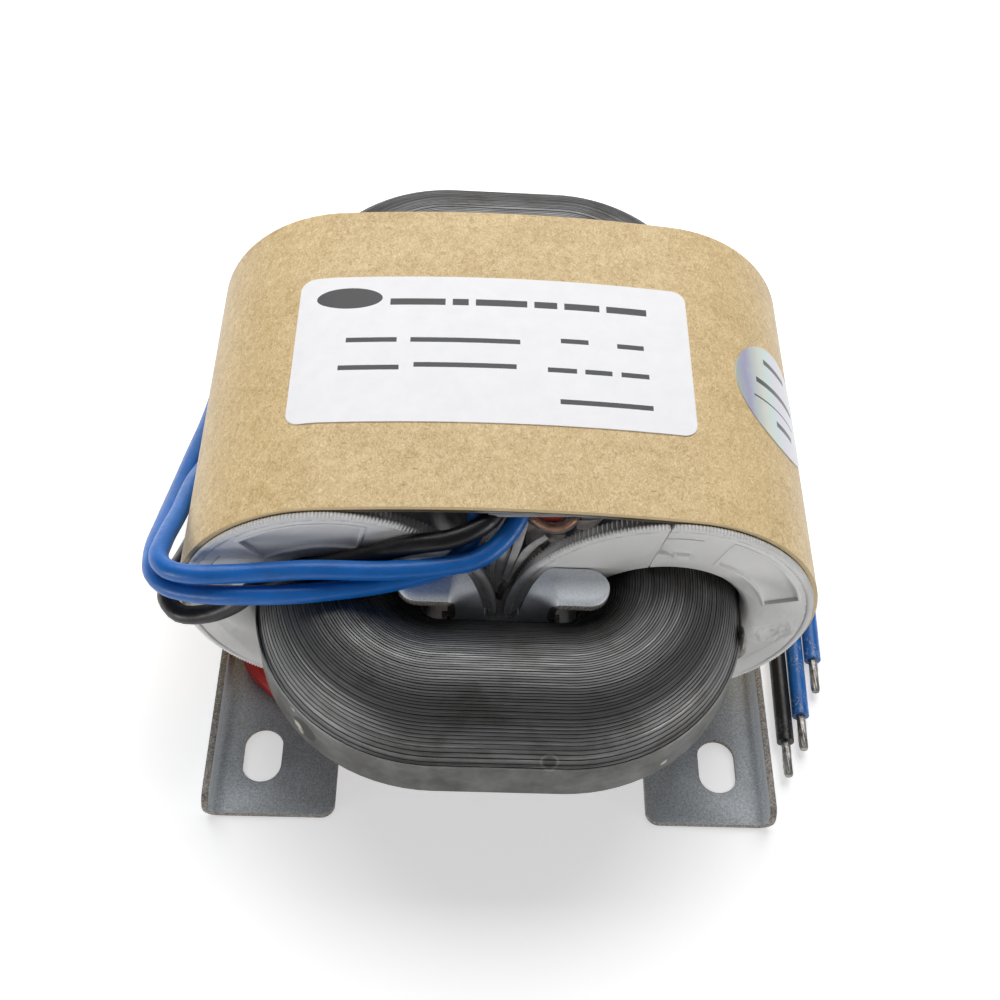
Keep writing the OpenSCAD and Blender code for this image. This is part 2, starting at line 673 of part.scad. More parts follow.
bracket();
core();
bobbin_left_upper();
bobbin_left_lower();
bobbin_right_upper();
bobbin_right_lower();
primary(-1);  // primary_left
primary(1);  // primary_right
insulation(-1);  // insulation_left
insulation(1);  // insulation_right
secondary(-1);  // secondary_left
secondary(1);  // secondary_right
coil_tape(-1);  // coil_tape_left
coil_tape(1);  // coil_tape_right
film_wrap();
paper_wrap();
label();
round_sticker();
splice_top();
splice_bottom();
tape_tails();
copper_tail_left();
copper_tail_right();
lead(blue_1, "royalblue");  // lead_blue_1
lead(blue_2, "royalblue");  // lead_blue_2
lead(black, "black");  // lead_black
lead(red_1, "crimson");  // lead_red_1
lead(red_2, "crimson");  // lead_red_2
tip(blue_1);  // tip_blue_1
tip(blue_2);  // tip_blue_2
tip(black);  // tip_black
tip(red_1);  // tip_red_1
tip(red_2);  // tip_red_2
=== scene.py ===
# %% [markdown]
# An R-core mains transformer, dressed for a picture. The solids come packed from the part's source
# and stay where they are. This lesson adds the camera, the leads, the finishes and the fine forms
# that solids leave out: the turns of the wound core, worn sheet metal, kraft paper and loose tape.

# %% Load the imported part
import json
import math
import random

import bmesh
import bpy
from mathutils import Matrix, Vector
from mathutils.bvhtree import BVHTree

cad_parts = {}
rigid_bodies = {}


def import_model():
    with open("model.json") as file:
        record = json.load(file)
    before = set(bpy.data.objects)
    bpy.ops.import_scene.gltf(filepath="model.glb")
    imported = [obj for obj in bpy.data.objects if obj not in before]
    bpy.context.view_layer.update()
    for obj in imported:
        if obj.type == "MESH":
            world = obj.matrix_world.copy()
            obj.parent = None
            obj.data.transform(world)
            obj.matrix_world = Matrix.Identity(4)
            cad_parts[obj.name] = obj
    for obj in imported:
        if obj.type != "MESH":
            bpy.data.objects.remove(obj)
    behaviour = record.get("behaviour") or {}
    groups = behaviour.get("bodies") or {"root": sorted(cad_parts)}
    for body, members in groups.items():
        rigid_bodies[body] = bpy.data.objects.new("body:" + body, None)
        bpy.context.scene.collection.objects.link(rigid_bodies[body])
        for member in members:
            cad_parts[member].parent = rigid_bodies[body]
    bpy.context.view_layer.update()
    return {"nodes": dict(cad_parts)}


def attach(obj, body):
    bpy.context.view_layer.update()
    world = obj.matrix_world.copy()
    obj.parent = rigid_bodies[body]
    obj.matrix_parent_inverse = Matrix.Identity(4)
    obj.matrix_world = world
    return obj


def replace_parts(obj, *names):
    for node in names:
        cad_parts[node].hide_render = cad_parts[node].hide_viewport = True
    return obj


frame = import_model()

MM = 0.001
nodes = frame["nodes"]
print("loaded", len(nodes), "nodes")

# %% [markdown]
# The camera stands above the front edge and looks down on the wrap, as in the photograph. Its place,
# its lens and a small shift come from fitting the known edges of the bracket and the coils.


# %% Camera
def stand(name, data):
    """Puts data into the scene as an object at the origin."""
    obj = bpy.data.objects.new(name, data)
    bpy.context.scene.collection.objects.link(obj)
    return obj


view_from = Vector((-5.639, -101.852, 144.196)) * MM
view_right = Vector((0.998258, -0.000237, 0.058996))
view_up = Vector((-0.033236, 0.823952, 0.565684))
view_ahead = Vector((0.048744, 0.566659, -0.822509))

lens = bpy.data.cameras.new("camera")
lens.sensor_width = 36
lens.lens = 47.795
lens.shift_x = -0.01573
lens.shift_y = 0.06028
lens.clip_start = 0.005
camera = stand("camera", lens)
camera.matrix_world = Matrix.Translation(view_from) @ Matrix((view_right, view_up, -view_ahead)).transposed().to_4x4()
bpy.context.scene.camera = camera
bpy.context.scene.view_settings.view_transform = "Standard"
print("camera at", [round(c, 4) for c in camera.location])

# %% [markdown]
# Five leads leave the windings. Each is one length of insulated wire, so each is one curve along the
# same eased route as its solid, with a round bevel for the insulation. The curve is sampled finely,
# because a cord that shows corners looks like a pipe.

# %% Routes of the leads
lead_d, lead_step = 2.1 * MM, 0.9 * MM
routes = {
    "blue_1": [[1.8, -14, 34.6], [1.8, -18.5, 34.6], [0.4, -21.8, 33.3], [-2.6, -24.5, 32.2],
               [-6.5, -25.5, 31.8], [-12, -26.1, 31.6], [-20, -25.9, 31], [-28, -25.5, 29.2],
               [-32.5, -25.3, 28.6], [-35, -24.4, 28], [-36.4, -22.4, 27], [-36.7, -19.4, 25.4],
               [-36.65, -12, 21], [-36.8, -4, 16.3], [-36.3, 4, 11.2], [-36, 13, 6.2], [-36.6, 22, 2.35],
               [-36.85, 30, 1.3], [-36.95, 37.5, 1.2], [-36.2, 43.4, 1.2], [-31.8, 49.4, 1.2],
               [-22.5, 51.15, 1.2], [0, 51.3, 1.2], [22.5, 51.1, 1.2], [33.4, 49, 1.2], [38.1, 41, 1.2],
               [38.85, 30, 1.2], [38.8, 16, 1.2], [38.7, 2, 1.2], [37.9, -25.2, 1.2]],
    "blue_2": [[-2.9, -14, 34.4], [-2.9, -18.5, 34.4], [-3.6, -22.2, 31.9], [-5.4, -23.7, 30.1],
               [-9, -25, 29.2], [-20, -27.2, 28.7], [-27, -27, 27.5], [-32, -26.1, 26.2], [-35.2, -25, 25.5],
               [-37.2, -22.9, 24.7], [-38.1, -19.4, 23.2], [-38.5, -12, 19.2], [-38.7, -4, 14.8],
               [-38.6, 4, 11.2], [-38.5, 13, 7], [-38.7, 22, 3.2], [-39.1, 30, 1.5], [-39.25, 37, 1.2],
               [-38.6, 44.6, 1.2], [-33.8, 51.9, 1.2], [-23, 53.6, 1.2], [0, 53.8, 1.2], [23, 53.6, 1.2],
               [35.3, 51.4, 1.2], [40.5, 43, 1.2], [41.25, 32, 1.2], [41.25, 18, 1.2], [41.15, 4, 1.2],
               [40.4, -17.2, 1.2]],
    "black": [[-0.6, -14, 34.9], [-0.6, -18.5, 34.9], [-1.8, -21.6, 34.9], [-5, -23.5, 34.3],
              [-10, -23.7, 32.8], [-15, -23.8, 30.5], [-20.5, -23.9, 28.3], [-25.3, -24.4, 26.3],
              [-28.4, -24.9, 22.8], [-31.8, -25, 20.5], [-35, -24.4, 19.4], [-36.8, -22.2, 18.8],
              [-37.2, -18.5, 17], [-36.8, -12, 13.4], [-36.4, -4, 8.8], [-35.8, 4, 4.6], [-35, 12, 1.9],
              [-34.5, 20, 1.25], [-34.45, 30, 1.2], [-34.5, 39.4, 1.2], [-30.8, 46.4, 1.2], [-22, 48.6, 1.2],
              [0, 48.8, 1.2], [22, 48.6, 1.2], [31.4, 46.6, 1.2], [35.8, 40, 1.2], [36.5, 30, 1.2],
              [36.5, 15, 1.2], [36.3, 0, 1.2], [35.6, -28.8, 1.2]],
    "red_1": [[-8.7, -14, 2.75], [-8.7, -22.4, 2.75], [-10.4, -26.2, 2.4], [-15, -28.4, 2], [-21, -27.4, 2],
              [-25.6, -24.4, 2], [-29.2, -20.6, 2], [-30, -15, 2], [-29.8, 30, 2], [-28, 39.4, 2.2],
              [-22, 43.4, 1.6]],
    "red_2": [[-8.7, 14, 2.75], [-8.7, 22.4, 2.75], [-7, 26.4, 2.2], [-3, 28.2, 1.4], [10.8, 28.2, 1.2],
              [13.8, 29.5, 1.2], [15.1, 32.5, 1.2], [13.8, 35.5, 1.2], [10.8, 36.8, 1.2], [-7, 36.8, 1.2],
              [-10, 38.1, 1.2], [-11.3, 41.1, 1.2], [-10, 44.1, 1.2], [-7, 45.4, 1.2], [12, 45.4, 1.2]],
}


def eased(route, step):
    """Points along a route in metres, eased round its corners as in the part's source."""
    pts = [Vector(p) * MM for p in route]

    def heading(i):
        ways = [(pts[i] - pts[i - 1]).normalized() if i else Vector(),
                (pts[i + 1] - pts[i]).normalized() if i < len(pts) - 1 else Vector()]
        return (ways[0] + ways[1]).normalized()

    out = []
    for i in range(len(pts) - 1):
        p, q = pts[i], pts[i + 1]
        span = (q - p).length
        m, n = span * heading(i), span * heading(i + 1)
        count = max(1, round(span / step))
        for j in range(count):
            t = j / count
            out.append((2 * t**3 - 3 * t**2 + 1) * p + (t**3 - 2 * t**2 + t) * m
                       + (3 * t**2 - 2 * t**3) * q + (t**3 - t**2) * n)
    return out + [pts[-1]]


paths = {name: eased(route, lead_step) for name, route in routes.items()}

# %% [markdown]
# A poly curve with a bevel is how Blender draws a wire: the curve is its middle and the bevel its
# thickness. The loop of the core and the winding ends come from the same helper.


# %% Leads as curves
def wire_curve(name, points, diameter):
    """A round wire along points in metres, closed at both ends."""
    curve = bpy.data.curves.new(name, "CURVE")
    curve.dimensions = "3D"
    curve.bevel_depth = diameter / 2
    curve.bevel_resolution = 4
    curve.use_fill_caps = True
    spline = curve.splines.new("POLY")
    spline.points.add(len(points) - 1)
    for slot, p in zip(spline.points, points):
        slot.co = (*p, 1)
    return stand(name, curve)


leads = {name: wire_curve("insulated_" + name, points, lead_d) for name, points in paths.items()}
print("made", len(leads), "leads")

# %% [markdown]
# A finish is a short chain of shader nodes. These small helpers add one node per call, so that a
# finish reads as a list of what is on the surface. All patterns use Object coordinates in
# millimetres, which stay put when the part is moved or exported.


# %% Helper for nodes
class Board:
    """A tree of nodes, to which each call adds one."""

    def put(self, socket, value):
        """Links an output to a socket, or writes a plain value on it."""
        if isinstance(value, bpy.types.NodeSocket):
            self.group.links.new(value, socket)
        elif isinstance(value, (tuple, list)) and len(value) == 3 and socket.type == "RGBA":
            socket.default_value = (*value, 1)
        else:
            socket.default_value = value

    def node(self, kind, inputs=(), **settings):
        made = self.group.nodes.new(kind)
        for key, value in settings.items():
            setattr(made, key, value)
        for key, value in dict(inputs).items():
            self.put(made.inputs[key], value)
        return made

    def sum(self, kind, a, b=0.0, c=0.0):
        return self.node("ShaderNodeMath", {0: a, 1: b, 2: c}, operation=kind).outputs[0]

    def times(self, a, b):
        return self.sum("MULTIPLY", a, b)

    def less(self, a, b):
        return self.sum("SUBTRACT", a, b)

    def axes(self, vector):
        return self.node("ShaderNodeSeparateXYZ", {0: vector}).outputs

    def vector(self, x, y, z=0.0):
        return self.node("ShaderNodeCombineXYZ", {0: x, 1: y, 2: z}).outputs[0]


# %% Helper for finishes
class Finish(Board):
    """A material that is built up on its principled shader."""

    def __init__(self, name, **sockets):
        self.material = bpy.data.materials.new(name)
        self.material.use_nodes = True
        self.group = self.material.node_tree
        self.shader = self.group.nodes["Principled BSDF"]
        for socket, value in sockets.items():
            self.set(socket.replace("_", " "), value)

    def set(self, socket, value):
        self.put(self.shader.inputs[socket], value)
        return self

    def place(self, scale=(1, 1, 1), shift=(0, 0, 0)):
        """Object coordinates in millimetres, moved and then stretched."""
        coords = self.node("ShaderNodeTexCoord").outputs["Object"]
        centred = self.node("ShaderNodeVectorMath", {0: coords, 1: [s * MM for s in shift]}, operation="SUBTRACT")
        spread = self.node("ShaderNodeVectorMath", {0: centred.outputs[0], 1: [s / MM for s in scale]},
                           operation="MULTIPLY")
        return spread.outputs[0]

    def noise(self, vector, scale, detail=3.0, roughness=0.55, distortion=0.0):
        made = self.node("ShaderNodeTexNoise", {"Vector": vector, "Scale": scale, "Detail": detail,
                                                "Roughness": roughness, "Distortion": distortion})
        return made.outputs["Fac"]

    def cells(self, vector, scale):
        """Distance from the nearest of many scattered points."""
        return self.node("ShaderNodeTexVoronoi", {"Vector": vector, "Scale": scale}).outputs["Distance"]

    def ramp(self, factor, *stops):
        """Colours, or greys given as single numbers, at places from 0 to 1."""
        made = self.node("ShaderNodeValToRGB", {"Fac": factor})
        points = made.color_ramp.elements
        while len(points) < len(stops):
            points.new(0.5)
        for point, (at, colour) in zip(points, stops):
            point.position = at
            point.color = (*colour, 1) if isinstance(colour, (tuple, list)) else (colour, colour, colour, 1)
        return made.outputs["Color"]

    def blend(self, factor, a, b, kind="MIX"):
        return self.node("ShaderNodeMix", {0: factor, 6: a, 7: b}, data_type="RGBA", blend_type=kind).outputs[2]

    def stain(self, tone, mask, share, colour):
        """Lays a share of a colour over a tone, where a mask lets it."""
        return self.blend(self.times(mask, share), tone, colour)

    def away(self, point):
        """Distance from a point given in millimetres."""
        made = self.node("ShaderNodeVectorMath", {0: self.place(), 1: point}, operation="DISTANCE")
        return made.outputs["Value"]

    def bump(self, height, depth):
        """Relief of a given depth in millimetres."""
        made = self.node("ShaderNodeBump", {"Height": height, "Strength": 1.0, "Distance": depth * MM})
        return self.set("Normal", made.outputs["Normal"])

    def attribute(self, name):
        return self.node("ShaderNodeAttribute", attribute_name=name).outputs["Fac"]


def dress(obj, finish):
    """Gives an object one finish and takes away any other."""
    obj.data.materials.clear()
    obj.data.materials.append(finish.material)
    return obj


# %% [markdown]
# The insulation is soft plastic: satin and a little uneven along its length. A stripping tool has
# left a faint collar at each cut and a few rubbed marks behind it. Both sit near the cut ends only, so
# their masks are distances from those ends.


# %% Lead insulation
def insulation_finish(name, colour, rubbed, ends):
    """Coloured plastic, rubbed near its cut ends."""
    f = Finish(name, Specular_IOR_Level=0.45)
    p = f.place()
    tone = f.ramp(f.noise(p, 0.35, 2), (0.3, [c * 0.86 for c in colour]), (0.7, [c * 1.1 for c in colour]))
    worn = f.ramp(f.noise(p, 1.3, 5, 0.7, 1.6), (0.54, 0.0), (0.6, 1.0))
    for end in ends:
        away = f.away(end)
        near = f.ramp(f.sum("DIVIDE", away, 4.0), (0.22, 0.0), (0.32, 0.85), (0.6, 0.7), (0.95, 0.0))
        tone = f.stain(tone, near, worn, rubbed)
        tone = f.stain(tone, f.sum("LESS_THAN", away, 1.0), 0.16, rubbed)
    f.set("Base Color", tone)
    f.set("Roughness", f.ramp(f.noise(p, 0.8, 3), (0.3, 0.3), (0.7, 0.44)))
    return f.bump(f.noise(p, 2.2, 3), 0.035)


lead_finish = {
    "blue": insulation_finish("blue_insulation", (0.006, 0.135, 0.49), (0.42, 0.45, 0.42),
                              [routes["blue_1"][-1], routes["blue_2"][-1]]),
    "black": insulation_finish("black_insulation", (0.004, 0.004, 0.005), (0.1, 0.1, 0.1), [routes["black"][-1]]),
    "red": insulation_finish("red_insulation", (0.72, 0.052, 0.044), (0.5, 0.3, 0.28),
                             [routes["red_1"][-1], routes["red_2"][-1]]),
}
for name, lead in leads.items():
    dress(lead, lead_finish[name.split("_")[0]])
print("insulation finishes:", sorted(lead_finish))

# %% [markdown]
# Some pieces are best written point by point. These helpers join rings of points with faces, turn all
# faces outwards and shade the result smooth, apart from its sharp edges.


# %% Helpers for meshes
def smoothed(mesh, angle):
    """Shades a mesh smooth, apart from edges sharper than an angle in degrees."""
    mesh.polygons.foreach_set("use_smooth", [True] * len(mesh.polygons))
    mesh.set_sharp_from_angle(angle=math.radians(angle))


def mesh_piece(name, verts, faces, finish, angle):
    """A dressed object from points in metres and faces, smooth up to an angle."""
    mesh = bpy.data.meshes.new(name)
    mesh.from_pydata([tuple(v) for v in verts], [], faces)
    bm = bmesh.new()
    bm.from_mesh(mesh)
    bmesh.ops.recalc_face_normals(bm, faces=bm.faces)
    bm.to_mesh(mesh)
    bm.free()
    smoothed(mesh, angle)
    return dress(stand(name, mesh), finish)


def tube_faces(rings, count, first=0):
    """Four-sided faces between rings of points that follow one another."""
    faces = []
    for a in range(first, first + (rings - 1) * count, count):
        for k in range(count):
            n = (k + 1) % count
            faces.append((a + k, a + n, a + n + count, a + k + count))
    return faces


def closed_tube(rings, count):
    """Faces of a tube whose two end points come after the points of its rings."""
    faces, last, start = tube_faces(rings, count), (rings - 1) * count, rings * count
    for k in range(count):
        n = (k + 1) % count
        faces += [(start, n, k), (start + 1, last + k, last + n)]
    return faces


# %% [markdown]
# The bare ends are stranded wire dipped in tin. A twisted, lobed stub shows the strands through the
# tin without modelling each one.


# %% Tinned ends
def two_tone(name, dark, light, pattern, stops=(0.3, 0.7), relief=None, **sockets):
    """A finish that drifts between two colours. Pattern and relief start with a scale and a detail."""
    f = Finish(name, **sockets)
    p = f.place()
    f.set("Base Color", f.ramp(f.noise(p, *pattern), (stops[0], dark), (stops[1], light)))
    return f.bump(f.noise(p, *relief[:2]), relief[2]) if relief else f


tin = two_tone("tinned_wire", (0.14, 0.13, 0.12), (0.42, 0.41, 0.39), (1.4, 4), (0.3, 0.62), (3.0, 4, 0.05),
               Metallic=0.85)
tin.set("Roughness", tin.ramp(tin.noise(tin.place(), 2.3, 3), (0.3, 0.28), (0.7, 0.5)))


def tinned_end(name, path, seed):
    """A twisted stub of seven strands that runs on from the end of a lead."""
    rng = random.Random(seed)
    start, ahead = path[-1], (path[-1] - path[-2]).normalized()
    side = ahead.cross(Vector((0, 0, 1))).normalized()
    rise = side.cross(ahead)
    rings, ring, strands, length, radius = 15, 28, 7, 4.5 * MM, 0.575 * MM
    verts = []
    for i in range(rings):
        t = i / (rings - 1)
        swell = 1 - 0.05 * rng.random() - (0.16 if i == rings - 1 else 0)
        for k in range(ring):
            a = 2 * math.pi * k / ring
            r = radius * swell * (0.93 + 0.07 * math.cos(strands * (a - 0.9 * t)))
            verts.append(start + ahead * length * t + (side * math.cos(a) + rise * math.sin(a)) * r)
    verts += [start, start + ahead * length]
    return mesh_piece(name, verts, closed_tube(rings, ring), tin, 60)


ends = {name: tinned_end("tinned_" + name, path, 7 + i) for i, (name, path) in enumerate(paths.items())}
for name, lead in leads.items():
    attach(lead, "root")
    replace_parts(lead, "lead_" + name)
    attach(ends[name], "root")
    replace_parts(ends[name], "tip_" + name)
print("made", len(ends), "tinned ends")

# %% [markdown]
# The floor is plain and pale. Seen by the camera it glows: weakly near the part, so that it takes a
# light shadow, nearly white around it, and fading far off into the grey of the studio. One wide lamp
# hangs above and a little behind, which puts the long highlight on the top of the core. Two weak ones
# stand low at the sides and light the faces of the bobbins.

# %% Floor and light
# Half the floor's width in metres, the reach of its glow in millimetres, and a gap under the part
reach, glow_reach, under = 8.0, 6000.0, -0.02 * MM
floor_finish = Finish("floor_white", Roughness=0.9, Base_Color=(0.86, 0.86, 0.86))
light_path = floor_finish.node("ShaderNodeLightPath").outputs
seen = floor_finish.sum("MAXIMUM", light_path["Is Camera Ray"],
                        floor_finish.sum("MAXIMUM", light_path["Is Glossy Ray"], light_path["Is Transmission Ray"]))
floor_finish.set("Emission Color", (1, 1, 1))
glow = floor_finish.ramp(floor_finish.sum("DIVIDE", floor_finish.away((0, 0, 0)), glow_reach), (0.025, 0.5),
                         (0.1, 0.9), (0.25, 0.5), (0.5, 0.2), (1.0, 0.02))
floor_finish.set("Emission Strength", floor_finish.times(seen, glow))
ground = bpy.data.meshes.new("floor")
ground.from_pydata([(-reach, -reach, 0), (reach, -reach, 0), (reach, reach, 0), (-reach, reach, 0)], [],
                   [(0, 1, 2, 3)])
floor = stand("floor", ground)
floor.location.z = under
dress(floor, floor_finish)


def soft_lamp(name, place, size, power):
    """A rectangular lamp that faces the part."""
    lamp = bpy.data.lights.new(name, "AREA")
    lamp.shape = "RECTANGLE"
    lamp.size, lamp.size_y = size
    lamp.energy = power
    obj = stand(name, lamp)
    obj.location = place
    obj.rotation_euler = (Vector((0, 0, 0.02)) - Vector(place)).to_track_quat("-Z", "Y").to_euler()


soft_lamp("sky_lamp", (0, 0.34, 0.47), (0.75, 0.55), 4.4)
soft_lamp("left_lamp", (-0.56, -0.38, 0.06), (0.3, 0.1), 1.3)
soft_lamp("right_lamp", (0.56, -0.38, 0.06), (0.3, 0.1), 1.15)
world = bpy.data.worlds.new("studio")
world.use_nodes = True
world.node_tree.nodes["Background"].inputs[0].default_value = (0.13, 0.13, 0.135, 1)
bpy.context.scene.world = world
print("floor, three lamps and a grey studio")

# %% [markdown]
# The core is one steel strip wound on itself about sixty times, with its width changing from turn to
# turn so that the section comes out round. What the eye sees is the edges of the turns. A Geometry
# Nodes tree is the way to draw so many alike, so here is a helper for such trees. A tree has named
# sizes, and its result is made a plain mesh, because the export takes no instances.


# %% Helper for node trees
class Tree(Board):
    """A Geometry Nodes tree with named sizes."""

    def __init__(self, name, **inputs):
        self.group = bpy.data.node_groups.new(name, "GeometryNodeTree")
        face = self.group.interface
        face.new_socket("Geometry", in_out="INPUT", socket_type="NodeSocketGeometry")
        face.new_socket("Geometry", in_out="OUTPUT", socket_type="NodeSocketGeometry")
        self.ids = {}
        for key, (kind, value) in inputs.items():
            made = face.new_socket(key, in_out="INPUT", socket_type="NodeSocket" + kind)
            made.default_value = value
            self.ids[key] = made.identifier
        self.start = self.group.nodes.new("NodeGroupInput")
        self.end = self.group.nodes.new("NodeGroupOutput")

    def size(self, key):
        return self.start.outputs[key]

    def drawn(self, low, high, key, seed):
        """A random number for each value of a key, the same on every run."""
        made = self.node("FunctionNodeRandomValue", {"Min": low, "Max": high, "ID": key, "Seed": seed},
                         data_type="FLOAT")
        return [o for o in made.outputs if o.enabled][0]

    def keep(self, geometry, name, value):
        """Stores a measure on the points, for the finish to read."""
        return self.node("GeometryNodeStoreNamedAttribute", {"Geometry": geometry, "Name": name, "Value": value},
                         data_type="FLOAT", domain="POINT").outputs[0]

    def close(self, geometry, finish):
        """Ends the tree: instances become real and get their finish."""
        real = self.node("GeometryNodeRealizeInstances", {"Geometry": geometry}).outputs[0]
        done = self.node("GeometryNodeSetMaterial", {"Geometry": real, "Material": finish.material}).outputs[0]
        self.group.links.new(done, self.end.inputs[0])


def grown(host, tree, values, name):
    """Runs a tree on a host object and returns the result as a plain mesh object."""
    made = host.modifiers.new("tree", "NODES")
    made.node_group = tree.group
    for key, value in values.items():
        made[tree.ids[key]] = value
    graph = bpy.context.evaluated_depsgraph_get()
    mesh = bpy.data.meshes.new_from_object(host.evaluated_get(graph), preserve_all_data_layers=True, depsgraph=graph)
    host.modifiers.remove(made)
    bpy.data.objects.remove(host)
    mesh.name = name
    return stand(name, mesh)


def extent(obj):
    """Lowest and highest place of a mesh, in millimetres."""
    measures = [[v.co[k] / MM for v in obj.data.vertices] for k in range(3)]
    return [round(min(m), 2) for m in measures], [round(max(m), 2) for m in measures]


# %% [markdown]
# The strip is bare steel under a thin varnish. Its finish could be a plain metal with noise, but the
# streaks have to follow the turns, so they are drawn from measures that the tree keeps on the mesh:
# how far across and along the strip a point lies, its groove and a tone for each turn.

# %% Finish of the strip edges
steel = Finish("core_strip", Metallic=1.0)
across, along, tone_of_turn = steel.attribute("across"), steel.attribute("along"), steel.attribute("turn_tone")
streak = steel.noise(steel.vector(steel.times(along, 0.045), across, tone_of_turn), 2.6, 4, 0.6)
base = steel.ramp(streak, (0.28, (0.1, 0.1, 0.1)), (0.55, (0.17, 0.17, 0.169)), (0.78, (0.285, 0.284, 0.28)))
p = steel.place()
# Dried varnish in olive patches, and paler spatter
varnish = steel.ramp(steel.noise(p, 0.16, 4, 0.6, 0.6), (0.5, 0.0), (0.68, 1.0))
base = steel.stain(base, varnish, 0.4, (0.05, 0.044, 0.032))
spatter = steel.ramp(steel.noise(p, 1.1, 5, 0.7), (0.64, 0.0), (0.7, 1.0))
base = steel.stain(base, spatter, 0.35, (0.24, 0.22, 0.19))
base = steel.stain(base, steel.attribute("groove"), 0.9, (0.004, 0.004, 0.004))
# The flat outside of the last turn is smoother and lighter than the edges
flat_from = 8.72
band = steel.sum("GREATER_THAN", steel.sum("ABSOLUTE", across), flat_from)
flat_tone = steel.ramp(steel.noise(p, 0.3, 4, 0.6), (0.35, (0.125, 0.123, 0.112)), (0.65, (0.22, 0.22, 0.216)))
base = steel.stain(base, band, 0.75, flat_tone)

# %% [markdown]
# On the front of the core lie a ringed dot of varnish and a spot weld, which is a dull patch of heat
# with bright beads in it. The last bead is a chip that shines on the right. They have hardly any
# height, so each is drawn by its distance from a place on the surface instead of as a mesh.

# %% Marks on the core
dot_at, heat_at = (5.03, -42.44, 22.03), (-20.39, -37.72, 18.73)
beads = (((-21.12, -36.99, 18.18), 0.7), ((-20.85, -37.16, 17.39), 0.5), ((-21.4, -36.33, 20.7), 0.4),
         ((17.58, -39.83, 17.49), 0.45))
dot = steel.sum("DIVIDE", steel.away(dot_at), 1.2)
base = steel.blend(steel.ramp(dot, (0.45, 0.42), (0.65, 0.0)), base, (0.02, 0.019, 0.017))
base = steel.blend(steel.ramp(dot, (0.6, 0.0), (0.74, 0.42), (0.9, 0.0)), base, (0.3, 0.29, 0.26))
heat = steel.ramp(steel.sum("DIVIDE", steel.away(heat_at), 2.0), (0.78, 0.7), (0.9, 0.0))
base = steel.blend(heat, base, (0.045, 0.043, 0.036))
lumpy = steel.noise(p, 1.6, 4, 0.7)
for bead_at, size in beads:
    near = steel.sum("DIVIDE", steel.sum("ADD", steel.away(bead_at), lumpy), 2.0)
    base = steel.blend(steel.ramp(near, (size / 2 + 0.15, 0.85), (size / 2 + 0.27, 0.0)), base, (0.6, 0.56, 0.48))
steel.set("Base Color", base)
steel.set("Roughness", steel.ramp(streak, (0.3, 0.6), (0.75, 0.44)))
steel.bump(streak, 0.02)
print("core finish:", len(steel.group.nodes), "nodes")

# %% [markdown]
# The loop is a rectangle with round corners. The tree needs only its middle line, so that is written
# as points, set close enough for smooth bends.

# %% Loop of the core
core_r, turn_r, half_pitch, core_y, axis_z = 8.9, 11.1, 17.8, 34.2, 18.6
corner_steps, loop_step = 20, 1.6
loop = []
for cx, cy, a0 in ((1, 1, 0), (-1, 1, 90), (-1, -1, 180), (1, -1, 270)):
    for k in range(corner_steps + 1):
        a = math.radians(a0 + 90 * k / corner_steps)
        loop.append((cx * (half_pitch - turn_r) + turn_r * math.cos(a), cy * (core_y - turn_r) + turn_r * math.sin(a)))
centreline = []
for i, (x, y) in enumerate(loop):
    nx, ny = loop[(i + 1) % len(loop)]
    count = max(1, round(math.hypot(nx - x, ny - y) / loop_step))
    centreline += [Vector((x + (nx - x) * j / count, y + (ny - y) * j / count, axis_z)) * MM for j in range(count)]
host = wire_curve("core_loop", centreline, 0)
host.data.splines[0].use_cyclic_u = True
print("core loop:", len(centreline), "points")

# %% [markdown]
# The section starts as a ring of points, which the tree moves to their places. A turn takes four of
# them: one in the groove, three on the broad edge. The upper side is counted from the inside out and
# the lower side back again. Each turn is a little off its place and height, by chance with fixed seeds.

# %% Ridged section
turns, turn_points = 64, 4
tree = Tree("wound_strip", Turns=("Int", turns), Radius=("Float", core_r * MM), Strip=("Float", 2.8 * MM),
            Groove=("Float", 0.15 * MM), Stagger=("Float", 0.05 * MM))
side_points = tree.times(tree.size("Turns"), turn_points)
total = tree.times(side_points, 2)
ring = tree.node("GeometryNodeCurvePrimitiveCircle", {"Resolution": total, "Radius": 1.0}).outputs[0]
index = tree.node("GeometryNodeInputIndex").outputs[0]
upper = tree.sum("LESS_THAN", index, side_points)
mirrored = tree.less(tree.less(total, 1), index)
step = tree.node("GeometryNodeSwitch", {"Switch": upper, "False": mirrored, "True": index},
                 input_type="FLOAT").outputs[0]
turn_no = tree.sum("FLOOR", tree.sum("DIVIDE", tree.sum("ADD", step, 0.25), turn_points))
in_turn = tree.less(step, tree.times(turn_no, turn_points))
# The four points of a turn sit at 0, 0.18, 0.5 and 0.82 of its width
spot = tree.sum("ADD", tree.times(in_turn, 0.32), tree.times(tree.sum("GREATER_THAN", in_turn, 0.5), -0.14))
after_first = tree.sum("GREATER_THAN", turn_no, 0.5)
before_last = tree.sum("LESS_THAN", turn_no, tree.less(tree.size("Turns"), 1.5))
shifted = tree.times(tree.drawn(-0.06, 0.06, turn_no, 21), tree.times(after_first, before_last))
share = tree.sum("DIVIDE", tree.sum("ADD", tree.sum("ADD", turn_no, spot), shifted),
                 tree.less(tree.size("Turns"), 0.18))
u = tree.times(tree.less(tree.times(share, 2), 1), tree.size("Radius"))
squared = tree.less(tree.sum("POWER", tree.size("Radius"), 2), tree.sum("POWER", u, 2))
half = tree.sum("MAXIMUM", tree.sum("SQRT", tree.sum("MAXIMUM", squared, 0)), tree.size("Strip"))
sunk = tree.times(tree.drawn(-1.0, 0.0, turn_no, 5), -1)
turn_tone = tree.times(tree.drawn(0.0, 1.0, turn_no, 9), 7)
groove_here = tree.times(tree.sum("LESS_THAN", in_turn, 0.5), tree.drawn(0.6, 1.0, turn_no, 3))
